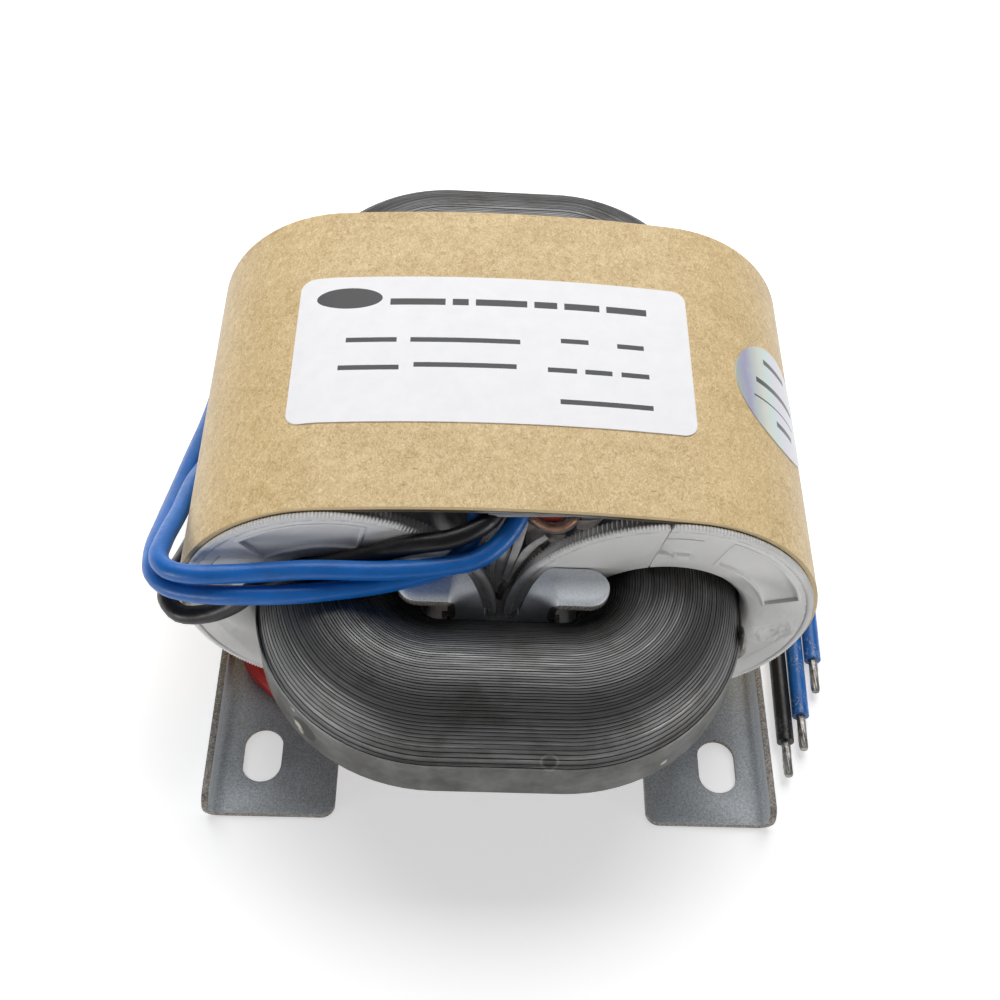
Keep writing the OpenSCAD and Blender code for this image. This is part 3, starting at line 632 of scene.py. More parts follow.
dip = tree.sum("ADD", tree.times(groove_here, tree.size("Groove")), tree.times(sunk, tree.size("Stagger")))
signed = tree.times(tree.less(half, dip), tree.less(tree.times(upper, 2), 1))
where = tree.vector(tree.times(u, -1), signed)
section = tree.node("GeometryNodeSetPosition", {"Geometry": ring, "Position": where}).outputs[0]
print("section of", turns, "turns")

# %% [markdown]
# Curve to Mesh carries the section along the loop, as the strip was wound. The measures for the finish
# are kept on section and loop before that, because the sweep passes them on to the mesh.

# %% Sweep of the core
section = tree.keep(section, "across", tree.sum("DIVIDE", u, MM))
section = tree.keep(section, "groove", groove_here)
section = tree.keep(section, "turn_tone", turn_tone)
run = tree.node("GeometryNodeSplineParameter").outputs["Length"]
rail = tree.node("GeometryNodeSetCurveNormal", {"Curve": tree.size("Geometry")}, mode="Z_UP").outputs[0]
rail = tree.keep(rail, "along", tree.sum("DIVIDE", run, MM))
swept = tree.node("GeometryNodeCurveToMesh", {"Curve": rail, "Profile Curve": section}).outputs[0]
tree.close(swept, steel)
core = grown(host, tree, {"Turns": turns}, "wound_core")
smoothed(core.data, 32)
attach(core, "root")
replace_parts(core, "core")
print("wound core", *extent(core), len(core.data.polygons), "faces")

# %% [markdown]
# Varnish has run down beside the right bobbin and dried as a drop on the last turn. A squashed ball,
# narrow at the top, fuller below and a little lumpy, is enough for it.

# %% Varnish drop
varnished = two_tone("dried_varnish", (0.06, 0.056, 0.045), (0.24, 0.235, 0.21), (0.9, 4, 0.65), (0.35, 0.65),
                     (1.3, 3, 0.15), Roughness=0.3, Metallic=0.4)
drop_at, rows, columns = (26.3, -26.5, 20.35), 14, 24


def drop_point(i, k):
    """Place on the drop, in metres: row 0 is one pole and the last row the other."""
    lat, lon = math.pi * i / rows, 2 * math.pi * k / columns
    rise = math.sin(lat) * math.sin(lon)
    wide = (0.75 - 0.35 * rise) * (1 + 0.14 * math.sin(3 * lon + 2 * lat)) * math.sin(lat) * math.cos(lon)
    y, z = -1.6 * math.cos(lat), 1.9 * rise
    return Vector((drop_at[0] + 0.1 * z + wide, drop_at[1] + 0.87 * y + 0.5 * z,
                   drop_at[2] - 0.5 * y + 0.87 * z)) * MM


verts = [drop_point(i, k) for i in range(1, rows) for k in range(columns)] + [drop_point(0, 0), drop_point(rows, 0)]
drop = mesh_piece("varnish_drop", verts, closed_tube(rows - 1, columns), varnished, 60)
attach(drop, "root")
print("one varnish drop")

# %% [markdown]
# Bracket and bobbins have the right shape as solids. A copy of each is merged, given small bevels so
# that its edges catch the light, and smoothed across the small steps of its curves. The clip ears are
# left out of the bracket's copy, because a sheet that twists needs more and finer faces than a solid.


# %% Copies with soft edges
def soft_edged(node, name, bevel, finish, angle, left_out=None):
    """A copy of a solid with bevels on edges sharper than an angle, without the faces that are left out."""
    mesh = nodes[node].data.copy()
    mesh.name = name
    bm = bmesh.new()
    bm.from_mesh(mesh)
    bmesh.ops.remove_doubles(bm, verts=bm.verts, dist=0.002 * MM)
    if left_out:
        gone = [q for q in bm.faces if all(left_out(v.co / MM) for v in q.verts)]
        bmesh.ops.delete(bm, geom=gone, context="FACES")
        bmesh.ops.holes_fill(bm, edges=[e for e in bm.edges if e.is_boundary])
    bmesh.ops.dissolve_limit(bm, angle_limit=math.radians(0.5), verts=bm.verts, edges=bm.edges)
    bm.to_mesh(mesh)
    bm.free()
    obj = stand(name, mesh)
    edge = obj.modifiers.new("edge", "BEVEL")
    edge.width = bevel * MM
    edge.segments = 2
    edge.limit_method = "ANGLE"
    edge.angle_limit = math.radians(angle)
    edge.use_clamp_overlap = True
    graph = bpy.context.evaluated_depsgraph_get()
    done = bpy.data.meshes.new_from_object(obj.evaluated_get(graph), depsgraph=graph)
    obj.modifiers.remove(edge)
    obj.data = done
    smoothed(done, angle)
    dress(obj, finish)
    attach(obj, "root")
    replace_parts(obj, node)
    return obj


# %% [markdown]
# Zinc plate on sheet steel is a matt blue grey with a fine grain and a few bright specks. Where the
# sheet was cut, the steel shows as a rough brown and grey band, so the faces of the cut edges carry an
# attribute that the finish reads.

# %% Zinc finish
zinc = Finish("zinc_sheet", Metallic=0.45)
p = zinc.place()
grain = zinc.noise(p, 3.4, 4, 0.6)
cloud = zinc.noise(p, 0.22, 3, 0.5)
tone = zinc.blend(0.5, zinc.ramp(grain, (0.36, (0.7, 0.74, 0.78)), (0.64, (0.84, 0.88, 0.91))),
                  zinc.ramp(cloud, (0.3, (0.72, 0.76, 0.79)), (0.7, (0.8, 0.84, 0.87))))
speck = zinc.ramp(zinc.cells(p, 0.5), (0.06, 1.0), (0.085, 0.0))
tone = zinc.stain(tone, speck, 0.8, (0.8, 0.82, 0.83))
scuff = zinc.ramp(zinc.noise(zinc.place((1, 2.6, 1)), 0.9, 5, 0.7), (0.66, 0.0), (0.72, 1.0))
tone = zinc.stain(tone, scuff, 0.5, (0.14, 0.15, 0.16))
torn = zinc.ramp(zinc.noise(zinc.place((1, 1, 0.5)), 4.5, 4, 0.75), (0.34, (0.13, 0.11, 0.095)),
                 (0.5, (0.29, 0.265, 0.24)), (0.66, (0.5, 0.48, 0.45)))
# Painted shade: the sheet is darkened towards the bottom, on the feet, and its speckle is stronger there
painted_shade_low = zinc.ramp(zinc.times(zinc.axes(p)[2], 0.1), (0.1, 0.46), (0.6, 0.0))
tone = zinc.blend(painted_shade_low, tone, (0.13, 0.14, 0.15))
speckle = zinc.ramp(zinc.noise(p, 5.5, 3, 0.7), (0.34, 0.78), (0.66, 1.44))
tone = zinc.blend(zinc.sum("ADD", zinc.times(painted_shade_low, 1.5), 0.3), tone, speckle, "MULTIPLY")
zinc.set("Base Color", zinc.blend(zinc.attribute("cut_edge"), tone, torn))
zinc.set("Roughness", zinc.ramp(grain, (0.3, 0.52), (0.7, 0.64)))
zinc.bump(grain, 0.02)
print("zinc finish:", len(zinc.group.nodes), "nodes")

# %% [markdown]
# The bracket's copy loses the ears above the notch. Its cut edges are found by casting a ray inwards
# from each face: through the sheet it soon meets the other side, along the sheet it does not.

# %% Bracket without its ears
ears_beyond, ears_above, thin = 22, 22.58, 1.3 * MM
bracket = soft_edged("bracket", "folded_bracket", 0.1, zinc, 60,
                     left_out=lambda v: abs(v.y) > ears_beyond and v.z > ears_above)
skin = bracket.data
tree_of_faces = BVHTree.FromPolygons([v.co for v in skin.vertices], [list(q.vertices) for q in skin.polygons])
cut_edge = skin.attributes.new("cut_edge", "FLOAT", "FACE")
for q in skin.polygons:
    hit = tree_of_faces.ray_cast(q.center - q.normal * 0.01 * MM, -q.normal, 3 * MM)
    cut_edge.data[q.index].value = 0.0 if hit[3] is not None and hit[3] < thin else 1.0
print("bracket:", len(skin.polygons), "faces")

# %% [markdown]
# An ear starts as the upright neck beside the notch and twists over until it lies flat above the core.
# It is swept as many thin sections between a back edge and a front edge. The front edge is rolled over
# a little, as a punched edge is, and below the ear the sheet sweeps round into the shoulder of the tab.


# %% Clip ears
def ease(t):
    """Runs smoothly from 0 to 1."""
    t = min(max(t, 0), 1)
    return t * t * (3 - 2 * t)


def ear_edge(u, front):
    """Place of an edge in millimetres: below 0 in the shoulder, 0 to 1 in the twist, up to 2 at the tip."""
    tab_y, from_z, ear_z, reach, width = 25.26, 22.3, 28.0, 11.2, 4.5
    v, a = max(u - 1, 0), math.radians(90 * min(max(u, 0), 1))
    base, root = (4.98, 5.9) if front else (1.87, 5.4)
    round_from = 1 - width / 2 / (reach - 5.9)
    w = max(v - round_from, 0) / (1 - round_from)
    half = width / 2 * math.sqrt(max(1 - w * w, 0.004))
    y_end = 24.9 + (half if front else -half)
    turned = ease(u / 0.85) if front else ease((u - 0.15) / 0.85)
    x = base + (root - base) * (1 - math.cos(a)) + v * (reach - root)
    z = from_z + (ear_z - from_z) * math.sin(a)
    if u < 0:
        z = from_z + 1.2 * u
        x = base + (1.1 * (1 - math.sqrt(1 - min(u * u, 1))) if front else 0)
    return Vector((x, -tab_y + (tab_y - y_end) * turned, z))


stations = [-0.98, -0.9, -0.8, -0.6, -0.4, -0.2] + [i / 28 for i in range(28)]
stations += [1 + 0.575 * i / 6 for i in range(6)]
stations += [1.575 + 0.425 * math.sin(math.radians(a)) for a in range(0, 91, 6)]
sheet, columns = 0.84, 16
crown, roll, roll_width = 0.16, 0.3, 0.8


def ear_point(u, t, rolled=True):
    """Place on the upper side, from the back edge at 0 to the front edge at 1."""
    back, front = ear_edge(u, False), ear_edge(u, True)
    spot = back.lerp(front, t)
    flat = ease((u - 0.55) / 0.45)
    spot.z += flat * crown * 4 * t * (1 - t)
    rim = max(0, 1 - (1 - t) * (front - back).length / roll_width)
    spot.z -= flat * roll * rim * rim * rolled
    return spot


def edge_way(u):
    """Way across the sheet at the front edge: down under the ear, inwards at the bend, up in the shoulder."""
    a = math.radians(-90 + 90 * (1 - u) if u < 1 else -90)
    return Vector((math.cos(a), 0, math.sin(a)))


# %% [markdown]
# A section is the upper side of the ear and, one sheet below, its lower side. Four-sided faces join the
# sections. One ear is worked out, and the others are its mirror images.


# %% Clip ears from sections
def ear_rib(u):
    """One section: the upper side from back to front, then the lower side from front to back."""
    shares = [1 - (1 - k / (columns - 1))**1.5 for k in range(columns)]
    top = [ear_point(u, t) for t in shares]
    plain = [ear_point(u, t, False) for t in shares]
    low = []
    for k, t in enumerate(shares):
        ahead = ear_point(min(u + 0.01, 2), t, False) - ear_point(u - 0.01, t, False)
        side = plain[min(k + 1, columns - 1)] - plain[max(k - 1, 0)]
        turned = ease((t - 0.8) / 0.2)
        through = edge_way(u) * turned - side.cross(ahead).normalized() * (1 - turned)
        low.append(top[k] + through.normalized() * sheet)
    return top + low[::-1]


def strip_faces(ribs, columns, first=0):
    """Faces of a closed strip, whose ribs run along one side and back along the other."""
    count = 2 * columns
    faces = tube_faces(ribs, count, first)
    for i in (0, ribs - 1):
        for k in range(columns - 1):
            a, b = first + i * count + k, first + (i + 1) * count - 1 - k
            faces.append((a, a + 1, b - 1, b))
    return faces


verts, faces = [], []
for sx in (1, -1):
    for sy in (1, -1):
        faces += strip_faces(len(stations), columns, len(verts))
        verts += [Vector((sx * v.x, sy * v.y, v.z)) * MM for u in stations for v in ear_rib(u)]
one_rib = [1.0 if k in (columns - 1, 2 * columns - 1) else 0.0 for k in range(2 * columns)]
is_cut = 4 * (one_rib * (len(stations) - 1) + [1.0] * 2 * (columns - 1))
ears = mesh_piece("clip_ears", verts, faces, zinc, 50)
mark = ears.data.attributes.new("cut_edge", "FLOAT", "FACE")
mark.data.foreach_set("value", is_cut)
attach(ears, "root")
print("clip ears:", len(faces), "faces")

# %% [markdown]
# The bobbins are moulded in white nylon. A grey line of painted shade lies along the step under each
# rim, on its upper half, and grime lies as small flecks that grow denser towards the edge. Both follow
# the distance from the bobbin's own axis, which two coordinates give, so nothing has to be painted by
# hand.

# %% Bobbins
nylon = Finish("bobbin_nylon", Roughness=0.42)
p = nylon.place()
cloud = nylon.ramp(nylon.noise(p, 0.25, 3), (0.3, (0.82, 0.815, 0.795)), (0.7, (0.87, 0.865, 0.85)))
spot = nylon.axes(p)
from_axis = nylon.vector(nylon.less(nylon.sum("ABSOLUTE", spot[0]), half_pitch), nylon.less(spot[2], axis_z))
radius = nylon.node("ShaderNodeVectorMath", {0: from_axis}, operation="LENGTH").outputs["Value"]
# Painted shade: a dark line along the step under the rim, on its upper half, broken up by noise
step_line = nylon.ramp(nylon.less(radius, 16.0), (0.3, 0.0), (0.42, 1.0), (0.55, 0.0))
upper_half = nylon.ramp(nylon.times(nylon.less(spot[2], 14.0), 0.1), (0.2, 0.0), (0.8, 1.0))
patchy = nylon.ramp(nylon.noise(p, 1.1, 4, 0.7), (0.42, 0.0), (0.6, 1.0))
rim_shade = nylon.times(nylon.times(step_line, upper_half), patchy)
cloud = nylon.stain(cloud, rim_shade, 0.5, (0.14, 0.12, 0.09))
fleck = nylon.ramp(nylon.noise(p, 2.4, 5, 0.7), (0.64, 0.0), (0.71, 1.0))
near_rim = nylon.ramp(nylon.times(nylon.less(radius, 14.0), 0.3), (0.0, 0.1), (1.0, 0.6))
nylon.set("Base Color", nylon.stain(cloud, fleck, near_rim, (0.16, 0.13, 0.1)))
# Mark of the mould's gate: a shallow swirl low on the right front face
gate_at = (31.2, -22.5, 15.9)
crooked = nylon.sum("ADD", nylon.away(gate_at), nylon.times(nylon.noise(p, 0.45, 2), 3.0))
swirl = nylon.ramp(nylon.sum("DIVIDE", nylon.less(crooked, 1.2), 4.0), (0.1, 0.2), (0.35, 1.0), (0.5, 0.0),
                   (0.7, 0.7), (0.85, 0.35))
swirl = nylon.blend(0.35, swirl, nylon.noise(p, 0.5, 2, 0.5, 1.5))
nylon.bump(nylon.sum("ADD", swirl, nylon.times(nylon.noise(p, 1.6, 3), 0.1)), 0.14)
for side in ("left", "right"):
    for half_name in ("upper", "lower"):
        soft_edged(f"bobbin_{side}_{half_name}", f"moulded_bobbin_{side}_{half_name}", 0.04, nylon, 50)
print("bobbins: 4 halves")

# %% [markdown]
# Round each flange runs a raised rim with fine teeth, which the winder grips. The rim stands a little
# out of the face and closes the view into the wrap. Its rail is an arc per bobbin half, which ends at
# the split. Teeth are far too many to place by hand, so a tree presses them in.

# %% Rails of the rims
rim_teeth, tooth_points, rim_r, rim_y = 280, 4, 16.9, 22.285
edge_from, teeth_from, teeth_rise = 16.8, 16.75 * MM, 0.4 * MM


def rim_arc(node, cx):
    """First and last angle of a bobbin half, from the points of the solid that lie at its edge."""
    spots = [(v.co.x / MM - cx, v.co.z / MM - axis_z) for v in nodes[node].data.vertices]
    spots = [q for q in spots if math.hypot(*q) > edge_from]
    mid = math.atan2(sum(q[1] for q in spots), sum(q[0] for q in spots))
    turns = [(math.atan2(z, x) - mid + math.pi) % (2 * math.pi) - math.pi for x, z in spots]
    return mid + min(turns), mid + max(turns)


rails = bpy.data.curves.new("rim_rails", "CURVE")
rails.dimensions = "3D"
for cx, side in ((-half_pitch, "left"), (half_pitch, "right")):
    for half_name in ("upper", "lower"):
        a0, a1 = rim_arc(f"bobbin_{side}_{half_name}", cx)
        count = round((a1 - a0) * rim_teeth * tooth_points / (2 * math.pi))
        for y in (-rim_y, rim_y):
            spline = rails.splines.new("POLY")
            spline.points.add(count)
            for k, slot in enumerate(spline.points):
                a = a0 + (a1 - a0) * k / count
                slot.co = ((cx + rim_r * math.cos(a)) * MM, y * MM, (axis_z + rim_r * math.sin(a)) * MM, 1)
host = stand("rim_rails", rails)
print("rim rails:", len(rails.splines))

# %% [markdown]
# The tree sweeps a rounded bar along the rails. Each point then moves towards the axis by the depth of
# a tooth at its angle. Ping-pong makes the zigzag, and only the outer part of the bar is pressed.

# %% Teeth of the rims
tree = Tree("toothed_rim", Teeth=("Int", rim_teeth), Depth=("Float", 0.2 * MM), Wide=("Float", 1.0 * MM),
            Thick=("Float", 0.67 * MM), Corner=("Float", 0.32 * MM))
plan = tree.node("GeometryNodeCurvePrimitiveQuadrilateral", {"Width": tree.size("Thick"), "Height": tree.size("Wide")})
plan = tree.node("GeometryNodeFilletCurve", {"Curve": plan.outputs[0], "Radius": tree.size("Corner"), "Count": 2},
                 mode="POLY")
swept = tree.node("GeometryNodeCurveToMesh", {"Curve": tree.size("Geometry"), "Profile Curve": plan.outputs[0],
                                              "Fill Caps": True}).outputs[0]
spot = tree.axes(tree.node("GeometryNodeInputPosition").outputs[0])
dx = tree.less(tree.sum("ABSOLUTE", spot[0]), half_pitch * MM)
dz = tree.less(spot[2], axis_z * MM)
from_axis = tree.sum("SQRT", tree.sum("ADD", tree.times(dx, dx), tree.times(dz, dz)))
turned = tree.times(tree.sum("ARCTAN2", dz, dx), tree.sum("DIVIDE", tree.size("Teeth"), 2 * math.pi))
valley = tree.times(tree.sum("PINGPONG", turned, 0.5), 2)
outside = tree.sum("DIVIDE", tree.less(from_axis, teeth_from), teeth_rise)
outside = tree.sum("MINIMUM", tree.sum("MAXIMUM", outside, 0), 1)
press = tree.sum("DIVIDE", tree.times(tree.times(valley, outside), tree.size("Depth")), from_axis)
pull = tree.times(press, -1)
inward = tree.vector(tree.times(tree.times(dx, tree.sum("SIGN", spot[0])), pull),
                     tree.times(tree.times(press, from_axis), tree.times(tree.sum("SIGN", spot[1]), -0.7)),
                     tree.times(dz, pull))
tree.close(tree.node("GeometryNodeSetPosition", {"Geometry": swept, "Offset": inward}).outputs[0], nylon)
rims = grown(host, tree, {"Teeth": rim_teeth}, "toothed_rims")
smoothed(rims.data, 50)
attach(rims, "root")
print("rims", *extent(rims), len(rims.data.polygons), "faces")

# %% [markdown]
# The wrap is brown kraft paper over a film. Kraft shows long fibres, soft clouds and small dark specks,
# and it shines a little where light grazes it. Its cut edge is painted paler than the sheet: painted
# light against the shade on the cut face. Layers of noise at three scales give all of that, where a
# picture of paper would have to be unwrapped first.

# %% Paper wrap
kraft = Finish("kraft_paper", Specular_IOR_Level=0.5, Sheen_Weight=0.3, Sheen_Roughness=0.35)
p = kraft.place()
cloud = kraft.noise(p, 0.16, 3, 0.6)
mottle = kraft.noise(p, 0.5, 5, 0.62, 1.0)
fibre = kraft.noise(kraft.place((1.4, 0.9, 1.1)), 2.0, 6, 0.75, 1.6)
tone = kraft.ramp(cloud, (0.3, (0.5, 0.335, 0.13)), (0.7, (0.76, 0.57, 0.29)))
tone = kraft.blend(0.5, tone, kraft.ramp(mottle, (0.34, (0.46, 0.3, 0.11)), (0.5, (0.67, 0.48, 0.225)),
                                         (0.66, (0.84, 0.66, 0.37))))
tone = kraft.blend(0.46, tone, kraft.ramp(fibre, (0.36, (0.26, 0.145, 0.045)), (0.5, (0.68, 0.49, 0.235)),
                                          (0.64, (0.96, 0.81, 0.51))))
hair = kraft.ramp(kraft.cells(kraft.place((0.4, 1.5, 1)), 0.6), (0.04, 1.0), (0.1, 0.0))
tone = kraft.stain(tone, hair, 0.65, (0.22, 0.12, 0.045))
edge_at = 21.885
# Painted light: the cut faces are made paler, to stand against their shade
cut = kraft.sum("GREATER_THAN", kraft.sum("ABSOLUTE", kraft.axes(p)[1]), edge_at)
tone = kraft.stain(tone, cut, 0.7, (0.86, 0.68, 0.4))
kraft.set("Base Color", tone)
kraft.set("Roughness", kraft.ramp(fibre, (0.3, 0.62), (0.7, 0.46)))
kraft.bump(fibre, 0.03)
dress(nodes["paper_wrap"], kraft)

film = Finish("coil_film", Roughness=0.3)
p = film.place()
middle = film.ramp(film.times(film.sum("ADD", film.axes(p)[0], 6.0), 0.05), (0.12, 0.0), (0.2, 1.0), (0.7, 1.0),
                   (0.9, 0.0))
film.set("Base Color", film.blend(middle, (0.1, 0.08, 0.055),
                                  film.ramp(film.noise(p, 0.6, 3), (0.3, (0.2, 0.2, 0.21)), (0.7, (0.3, 0.3, 0.31)))))
dress(nodes["film_wrap"], film)
print("wrap finished")

# %% [markdown]
# The label is white paper and the sticker a thin foil that shimmers. Both carry fields of print, drawn
# as plain bars and an oval. Each bar is a pair of compare nodes on the place, so that no picture is
# needed and the edges stay sharp at any size.


# %% Label and sticker
def printed(f, tone, bars, ink, axes=(0, 1)):
    """Lays bars of ink on a tone. A bar is given by its ends along two axes, in millimetres."""
    spot = f.axes(f.place())
    for a0, a1, b0, b1 in bars:
        inside = f.times(f.sum("COMPARE", spot[axes[0]], (a0 + a1) / 2, (a1 - a0) / 2),
                         f.sum("COMPARE", spot[axes[1]], (b0 + b1) / 2, (b1 - b0) / 2))
        tone = f.blend(inside, tone, ink)
    return tone


black_ink, grey_ink = (0.025, 0.025, 0.028), (0.05, 0.05, 0.055)
card = Finish("label_paper", Roughness=0.5)
p = card.place()
tone = card.ramp(card.noise(p, 0.5, 3), (0.3, (0.86, 0.86, 0.875)), (0.7, (0.9, 0.9, 0.91)))
top_row = [(a, b, 6.3, 7.3) for a, b in ((-13.4, -7.2), (-6.4, -4.6), (-3.8, 2.0), (2.8, 5.4), (6.2, 10.2), (11, 15.6))]
lower_rows = [(-18, -12.4, 0.6, 1.3), (-10.9, 1.2, 0.6, 1.3), (5.7, 8.8, 1.1, 1.8), (12, 15, 0.9, 1.6),
              (-18.6, -12, -3.5, -2.8), (-10.4, 0.8, -3.1, -2.4), (4.2, 7.4, -3.3, -2.6), (8.3, 11.3, -3.3, -2.6),
              (12.3, 15.4, -3.3, -2.6), (5.5, 15.6, -7.8, -7.1)]
tone = printed(card, tone, top_row + lower_rows, black_ink)
oval = card.node("ShaderNodeVectorMath", {0: card.place((0.27, 0.62, 0), (-18.0, 7.4, 0))}, operation="LENGTH")
card.set("Base Color", card.blend(card.sum("LESS_THAN", oval.outputs["Value"], 1.0), tone, black_ink))
card.bump(card.noise(p, 4, 3), 0.01)
dress(nodes["label"], card)

foil = Finish("foil_sticker", Metallic=0.4, Roughness=0.34)
p = foil.place()
wavy = foil.sum("ADD", foil.times(foil.less(foil.axes(p)[0], 25.2), 0.1),
                foil.times(foil.less(foil.noise(p, 0.3, 2), 0.5), 0.16))
tone = foil.ramp(wavy, (0.08, (0.6, 0.66, 0.63)), (0.2, (0.52, 0.51, 0.72)), (0.28, (0.62, 0.67, 0.68)),
                 (0.38, (0.68, 0.7, 0.62)), (0.5, (0.56, 0.67, 0.65)), (0.66, (0.62, 0.6, 0.68)),
                 (0.9, (0.6, 0.64, 0.64)))
sticker_bars = [(-1.82, -1.56, 27, 33.4), (-4.3, -3.5, 28, 31), (0.6, 1.4, 26.5, 33), (4.4, 5.2, 28, 31.8)]
foil.set("Base Color", printed(foil, tone, sticker_bars, grey_ink, (1, 2)))
dress(nodes["round_sticker"], foil)
print("label and sticker finished")

# %% [markdown]
# Under the wrap lie enamelled copper and white tape, and between the bobbins some of it comes into
# view. Most of these surfaces only drift between two tones of one colour, so one helper makes them all.

# %% Finishes of the coils
copper = two_tone("enamelled_wire", (0.55, 0.2, 0.07), (0.88, 0.44, 0.18), (0.8, 3), Metallic=0.7, Roughness=0.3)
tape = two_tone("white_tape", (0.42, 0.41, 0.4), (0.62, 0.61, 0.6), (0.7, 4), relief=(1.5, 3, 0.05), Roughness=0.5)
old_tape = two_tone("aged_tape", (0.17, 0.145, 0.125), (0.33, 0.3, 0.28), (1.2, 4), relief=(2.5, 4, 0.06),
                    Roughness=0.6)
red_tape = two_tone("red_tape", (0.14, 0.012, 0.008), (0.32, 0.03, 0.02), (1.0, 3), Roughness=0.5)
grey_film = two_tone("film_lip", (0.24, 0.24, 0.25), (0.36, 0.36, 0.37), (0.8, 3), Roughness=0.35)
sleeve = two_tone("clear_sleeve", (0.62, 0.56, 0.55), (0.8, 0.77, 0.76), (0.9, 3), (0.35, 0.65), Roughness=0.18,
                  Transmission_Weight=0.85, IOR=1.3)
for name in nodes:
    if name.startswith(("primary", "secondary")):
        dress(nodes[name], copper)
    elif name.startswith(("insulation", "coil_tape", "splice")):
        dress(nodes[name], tape)
print("coil finishes made")

# %% [markdown]
# Between the bobbins the coils end in a small fan of loose tape and the lip of the film. A cloth
# simulation could lay them, but the strips are stiff and few, so each is drawn between two listed
# edges, and given a real thickness and a slight curl.


# %% Helpers for tape
def smooth_line(points, count):
    """A smooth line through a short list of places in millimetres."""
    pts = [Vector(p) for p in points]
    pts = [2 * pts[0] - pts[1]] + pts + [2 * pts[-1] - pts[-2]]
    out = []
    for i in range(1, len(pts) - 2):
        a, b, c, d = pts[i - 1:i + 3]
        for j in range(count):
            t = j / count
            out.append(0.5 * (2 * b + (c - a) * t + (2 * a - 5 * b + 4 * c - d) * t**2
                              + (3 * b - a - 3 * c + d) * t**3))
    return out + [pts[-2]]


def tape_strip(left, right, curl, thick=0.12, columns=7):
    """Vertices and faces of one closed strip between two edges."""
    left, right = smooth_line(left, 6), smooth_line(right, 6)
    verts = []
    for a, b in zip(left, right):
        face_side = []
        for k in range(columns):
            t = k / (columns - 1)
            spot = a.lerp(b, t)
            spot.y -= curl * 4 * t * (1 - t) * (b - a).length / 2
            face_side.append(spot)
        verts += [v * MM for v in face_side] + [(v + Vector((0, thick, 0))) * MM for v in face_side[::-1]]
    return verts, strip_faces(len(left), columns)


def tape_piece(name, strips, finish, curl=0.25):
    """Several strips as one piece."""
    verts, faces = [], []
    for left, right in strips:
        v, f = tape_strip(left, right, curl)
        faces += [tuple(i + len(verts) for i in q) for q in f]
        verts += v
    made = mesh_piece(name, verts, faces, finish, 50)
    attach(made, "root")
    return made


# %% [markdown]
# Five strips make the fan and four lie flat behind it. One end of red tape and the lip of the film are
# single strips.

# %% Loose tape
fan = [
    ([[-1.74, -21.3, 29.9], [-1.54, -21.4, 27.3], [-1.32, -21.5, 25.2], [-0.99, -21.6, 21.8], [-0.62, -21.7, 19.3]],
     [[-0.89, -21.3, 30], [-0.83, -21.4, 27.3], [-0.86, -21.5, 25.2], [-0.68, -21.6, 21.8], [-0.39, -21.7, 19.3]]),
    ([[-0.71, -20.9, 31.4], [-0.72, -21.1, 29.1], [-0.8, -21.25, 26.7], [-0.82, -21.4, 24.3], [-0.64, -21.6, 21.4]],
     [[0.2, -20.9, 31.1], [0.64, -21.1, 29.8], [0.55, -21.25, 27.6], [0.18, -21.4, 24.8], [-0.27, -21.6, 21.4]]),
    ([[0.14, -20.6, 31.2], [0.45, -20.75, 30.4], [0.69, -20.9, 29.3]],
     [[0.68, -20.6, 32.3], [0.8, -20.75, 30.8], [0.84, -20.9, 29]]),
    ([[1.4, -19.9, 33.7], [1.23, -20.5, 32.2], [0.89, -21.3, 30.1], [0.45, -21.75, 27.6], [-0.04, -21.9, 24.5]],
     [[2.54, -19.9, 33.8], [2.22, -20.5, 32.3], [1.78, -21.3, 30.1], [1.19, -21.75, 27.6], [0.48, -21.9, 24.5]]),
    ([[4.07, -21.2, 31.9], [2.8, -21.35, 30.6], [1.8, -21.5, 29], [0.96, -21.65, 26.1], [0.32, -21.8, 24]],
     [[4.54, -21.2, 31.3], [3.29, -21.35, 29.8], [2.26, -21.5, 27.7], [1.35, -21.65, 25.7], [0.77, -21.8, 23.6]]),
]
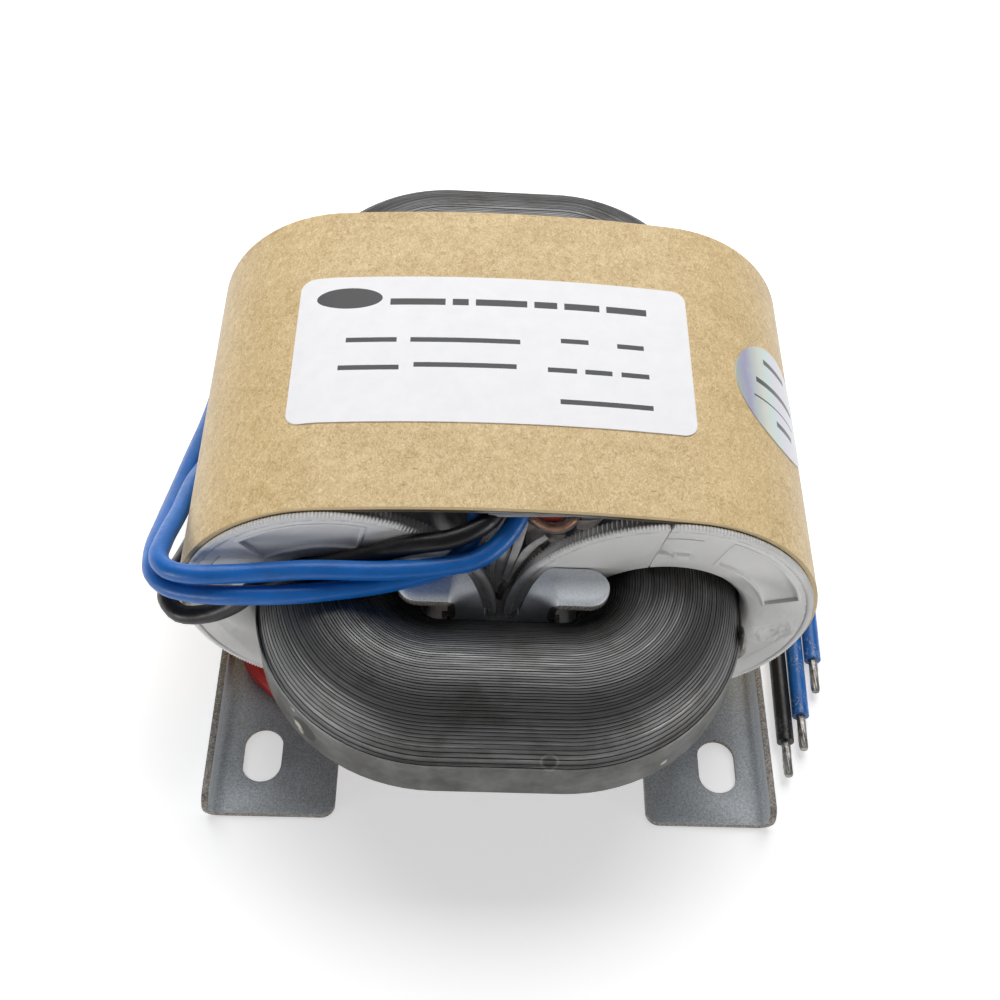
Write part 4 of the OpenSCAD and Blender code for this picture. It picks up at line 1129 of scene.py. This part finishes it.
layers = [
    ([[3.79, -20.4, 28.8], [2.77, -20.6, 28], [1.9, -20.7, 26.5], [1.21, -20.9, 24.4]],
     [[4.36, -20.4, 27], [3.35, -20.6, 26], [2.46, -20.7, 24.6], [1.8, -20.9, 22.9]]),
    ([[4.54, -20.7, 31.5], [4.53, -20.7, 30.2]], [[6.32, -20.7, 31.5], [6.07, -20.7, 29.5]]),
    ([[7.21, -20.8, 34.2], [7.3, -20.8, 32.8]], [[9.95, -20.8, 34.7], [8.75, -20.8, 32.4]]),
    ([[2.03, -20.3, 32.9], [2.3, -20.3, 28.8]], [[4.35, -20.3, 32.5], [4.51, -20.3, 29.3]]),
]
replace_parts(tape_piece("loose_tape", fan, tape), "tape_tails")
tape_piece("tape_layers", layers, old_tape, 0.1)
red_end = ([[2.02, -20.5, 34.6], [2.56, -20.5, 32.7]], [[6.04, -20.5, 34.6], [5.65, -20.5, 33.2]])
lip = ([[-2.0, -21.75, 36], [-1.92, -21.75, 35.5]], [[9.6, -21.75, 36.5], [9.3, -21.75, 36.2]])
tape_piece("red_tape_end", [red_end], red_tape, 0.1)
tape_piece("film_lip", [lip], grey_film, 0.0)
print("loose tape:", len(fan) + len(layers) + 2, "strips")

# %% [markdown]
# Two winding ends show as copper wire in a clear sleeve: two curves on one line, the thicker one made
# of the clear finish. A third end, low down, shows only its aged sleeve.

# %% Winding ends
tails = {
    "copper_tail_right": [[2.48, -20.2, 33.85], [3.11, -20.8, 33.74], [4.07, -21.1, 33.33], [5.12, -21.2, 33.21],
                          [6.13, -21.1, 33.54], [6.76, -20.8, 34.04], [7.26, -20.2, 33.95]],
    "copper_tail_left": [[-1.82, -19.8, 32.7], [-2.24, -20.3, 32.83], [-2.58, -20.6, 32.34], [-2.7, -20.6, 31.26],
                         [-2.52, -20.2, 29.25]],
}
for name, places in tails.items():
    line = [v * MM for v in smooth_line(places, 8)]
    for part, finish, size in (("wire", copper, 0.62), ("sleeve", sleeve, 1.15)):
        curve = wire_curve(f"{name}_{part}", line, size * MM)
        dress(curve, finish)
        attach(curve, "root")
        if part == "wire":
            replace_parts(curve, name)
low_places = [[1.32, -20.6, 23.6], [0.79, -21.3, 23.23], [0.32, -21.6, 22.86], [-0.07, -21.3, 21.68],
              [-0.11, -20.6, 19.08]]
low_wire = wire_curve("sleeved_end_low", [v * MM for v in smooth_line(low_places, 8)], 0.9 * MM)
dress(low_wire, old_tape)
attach(low_wire, "root")
print("winding ends:", len(tails) + 1)
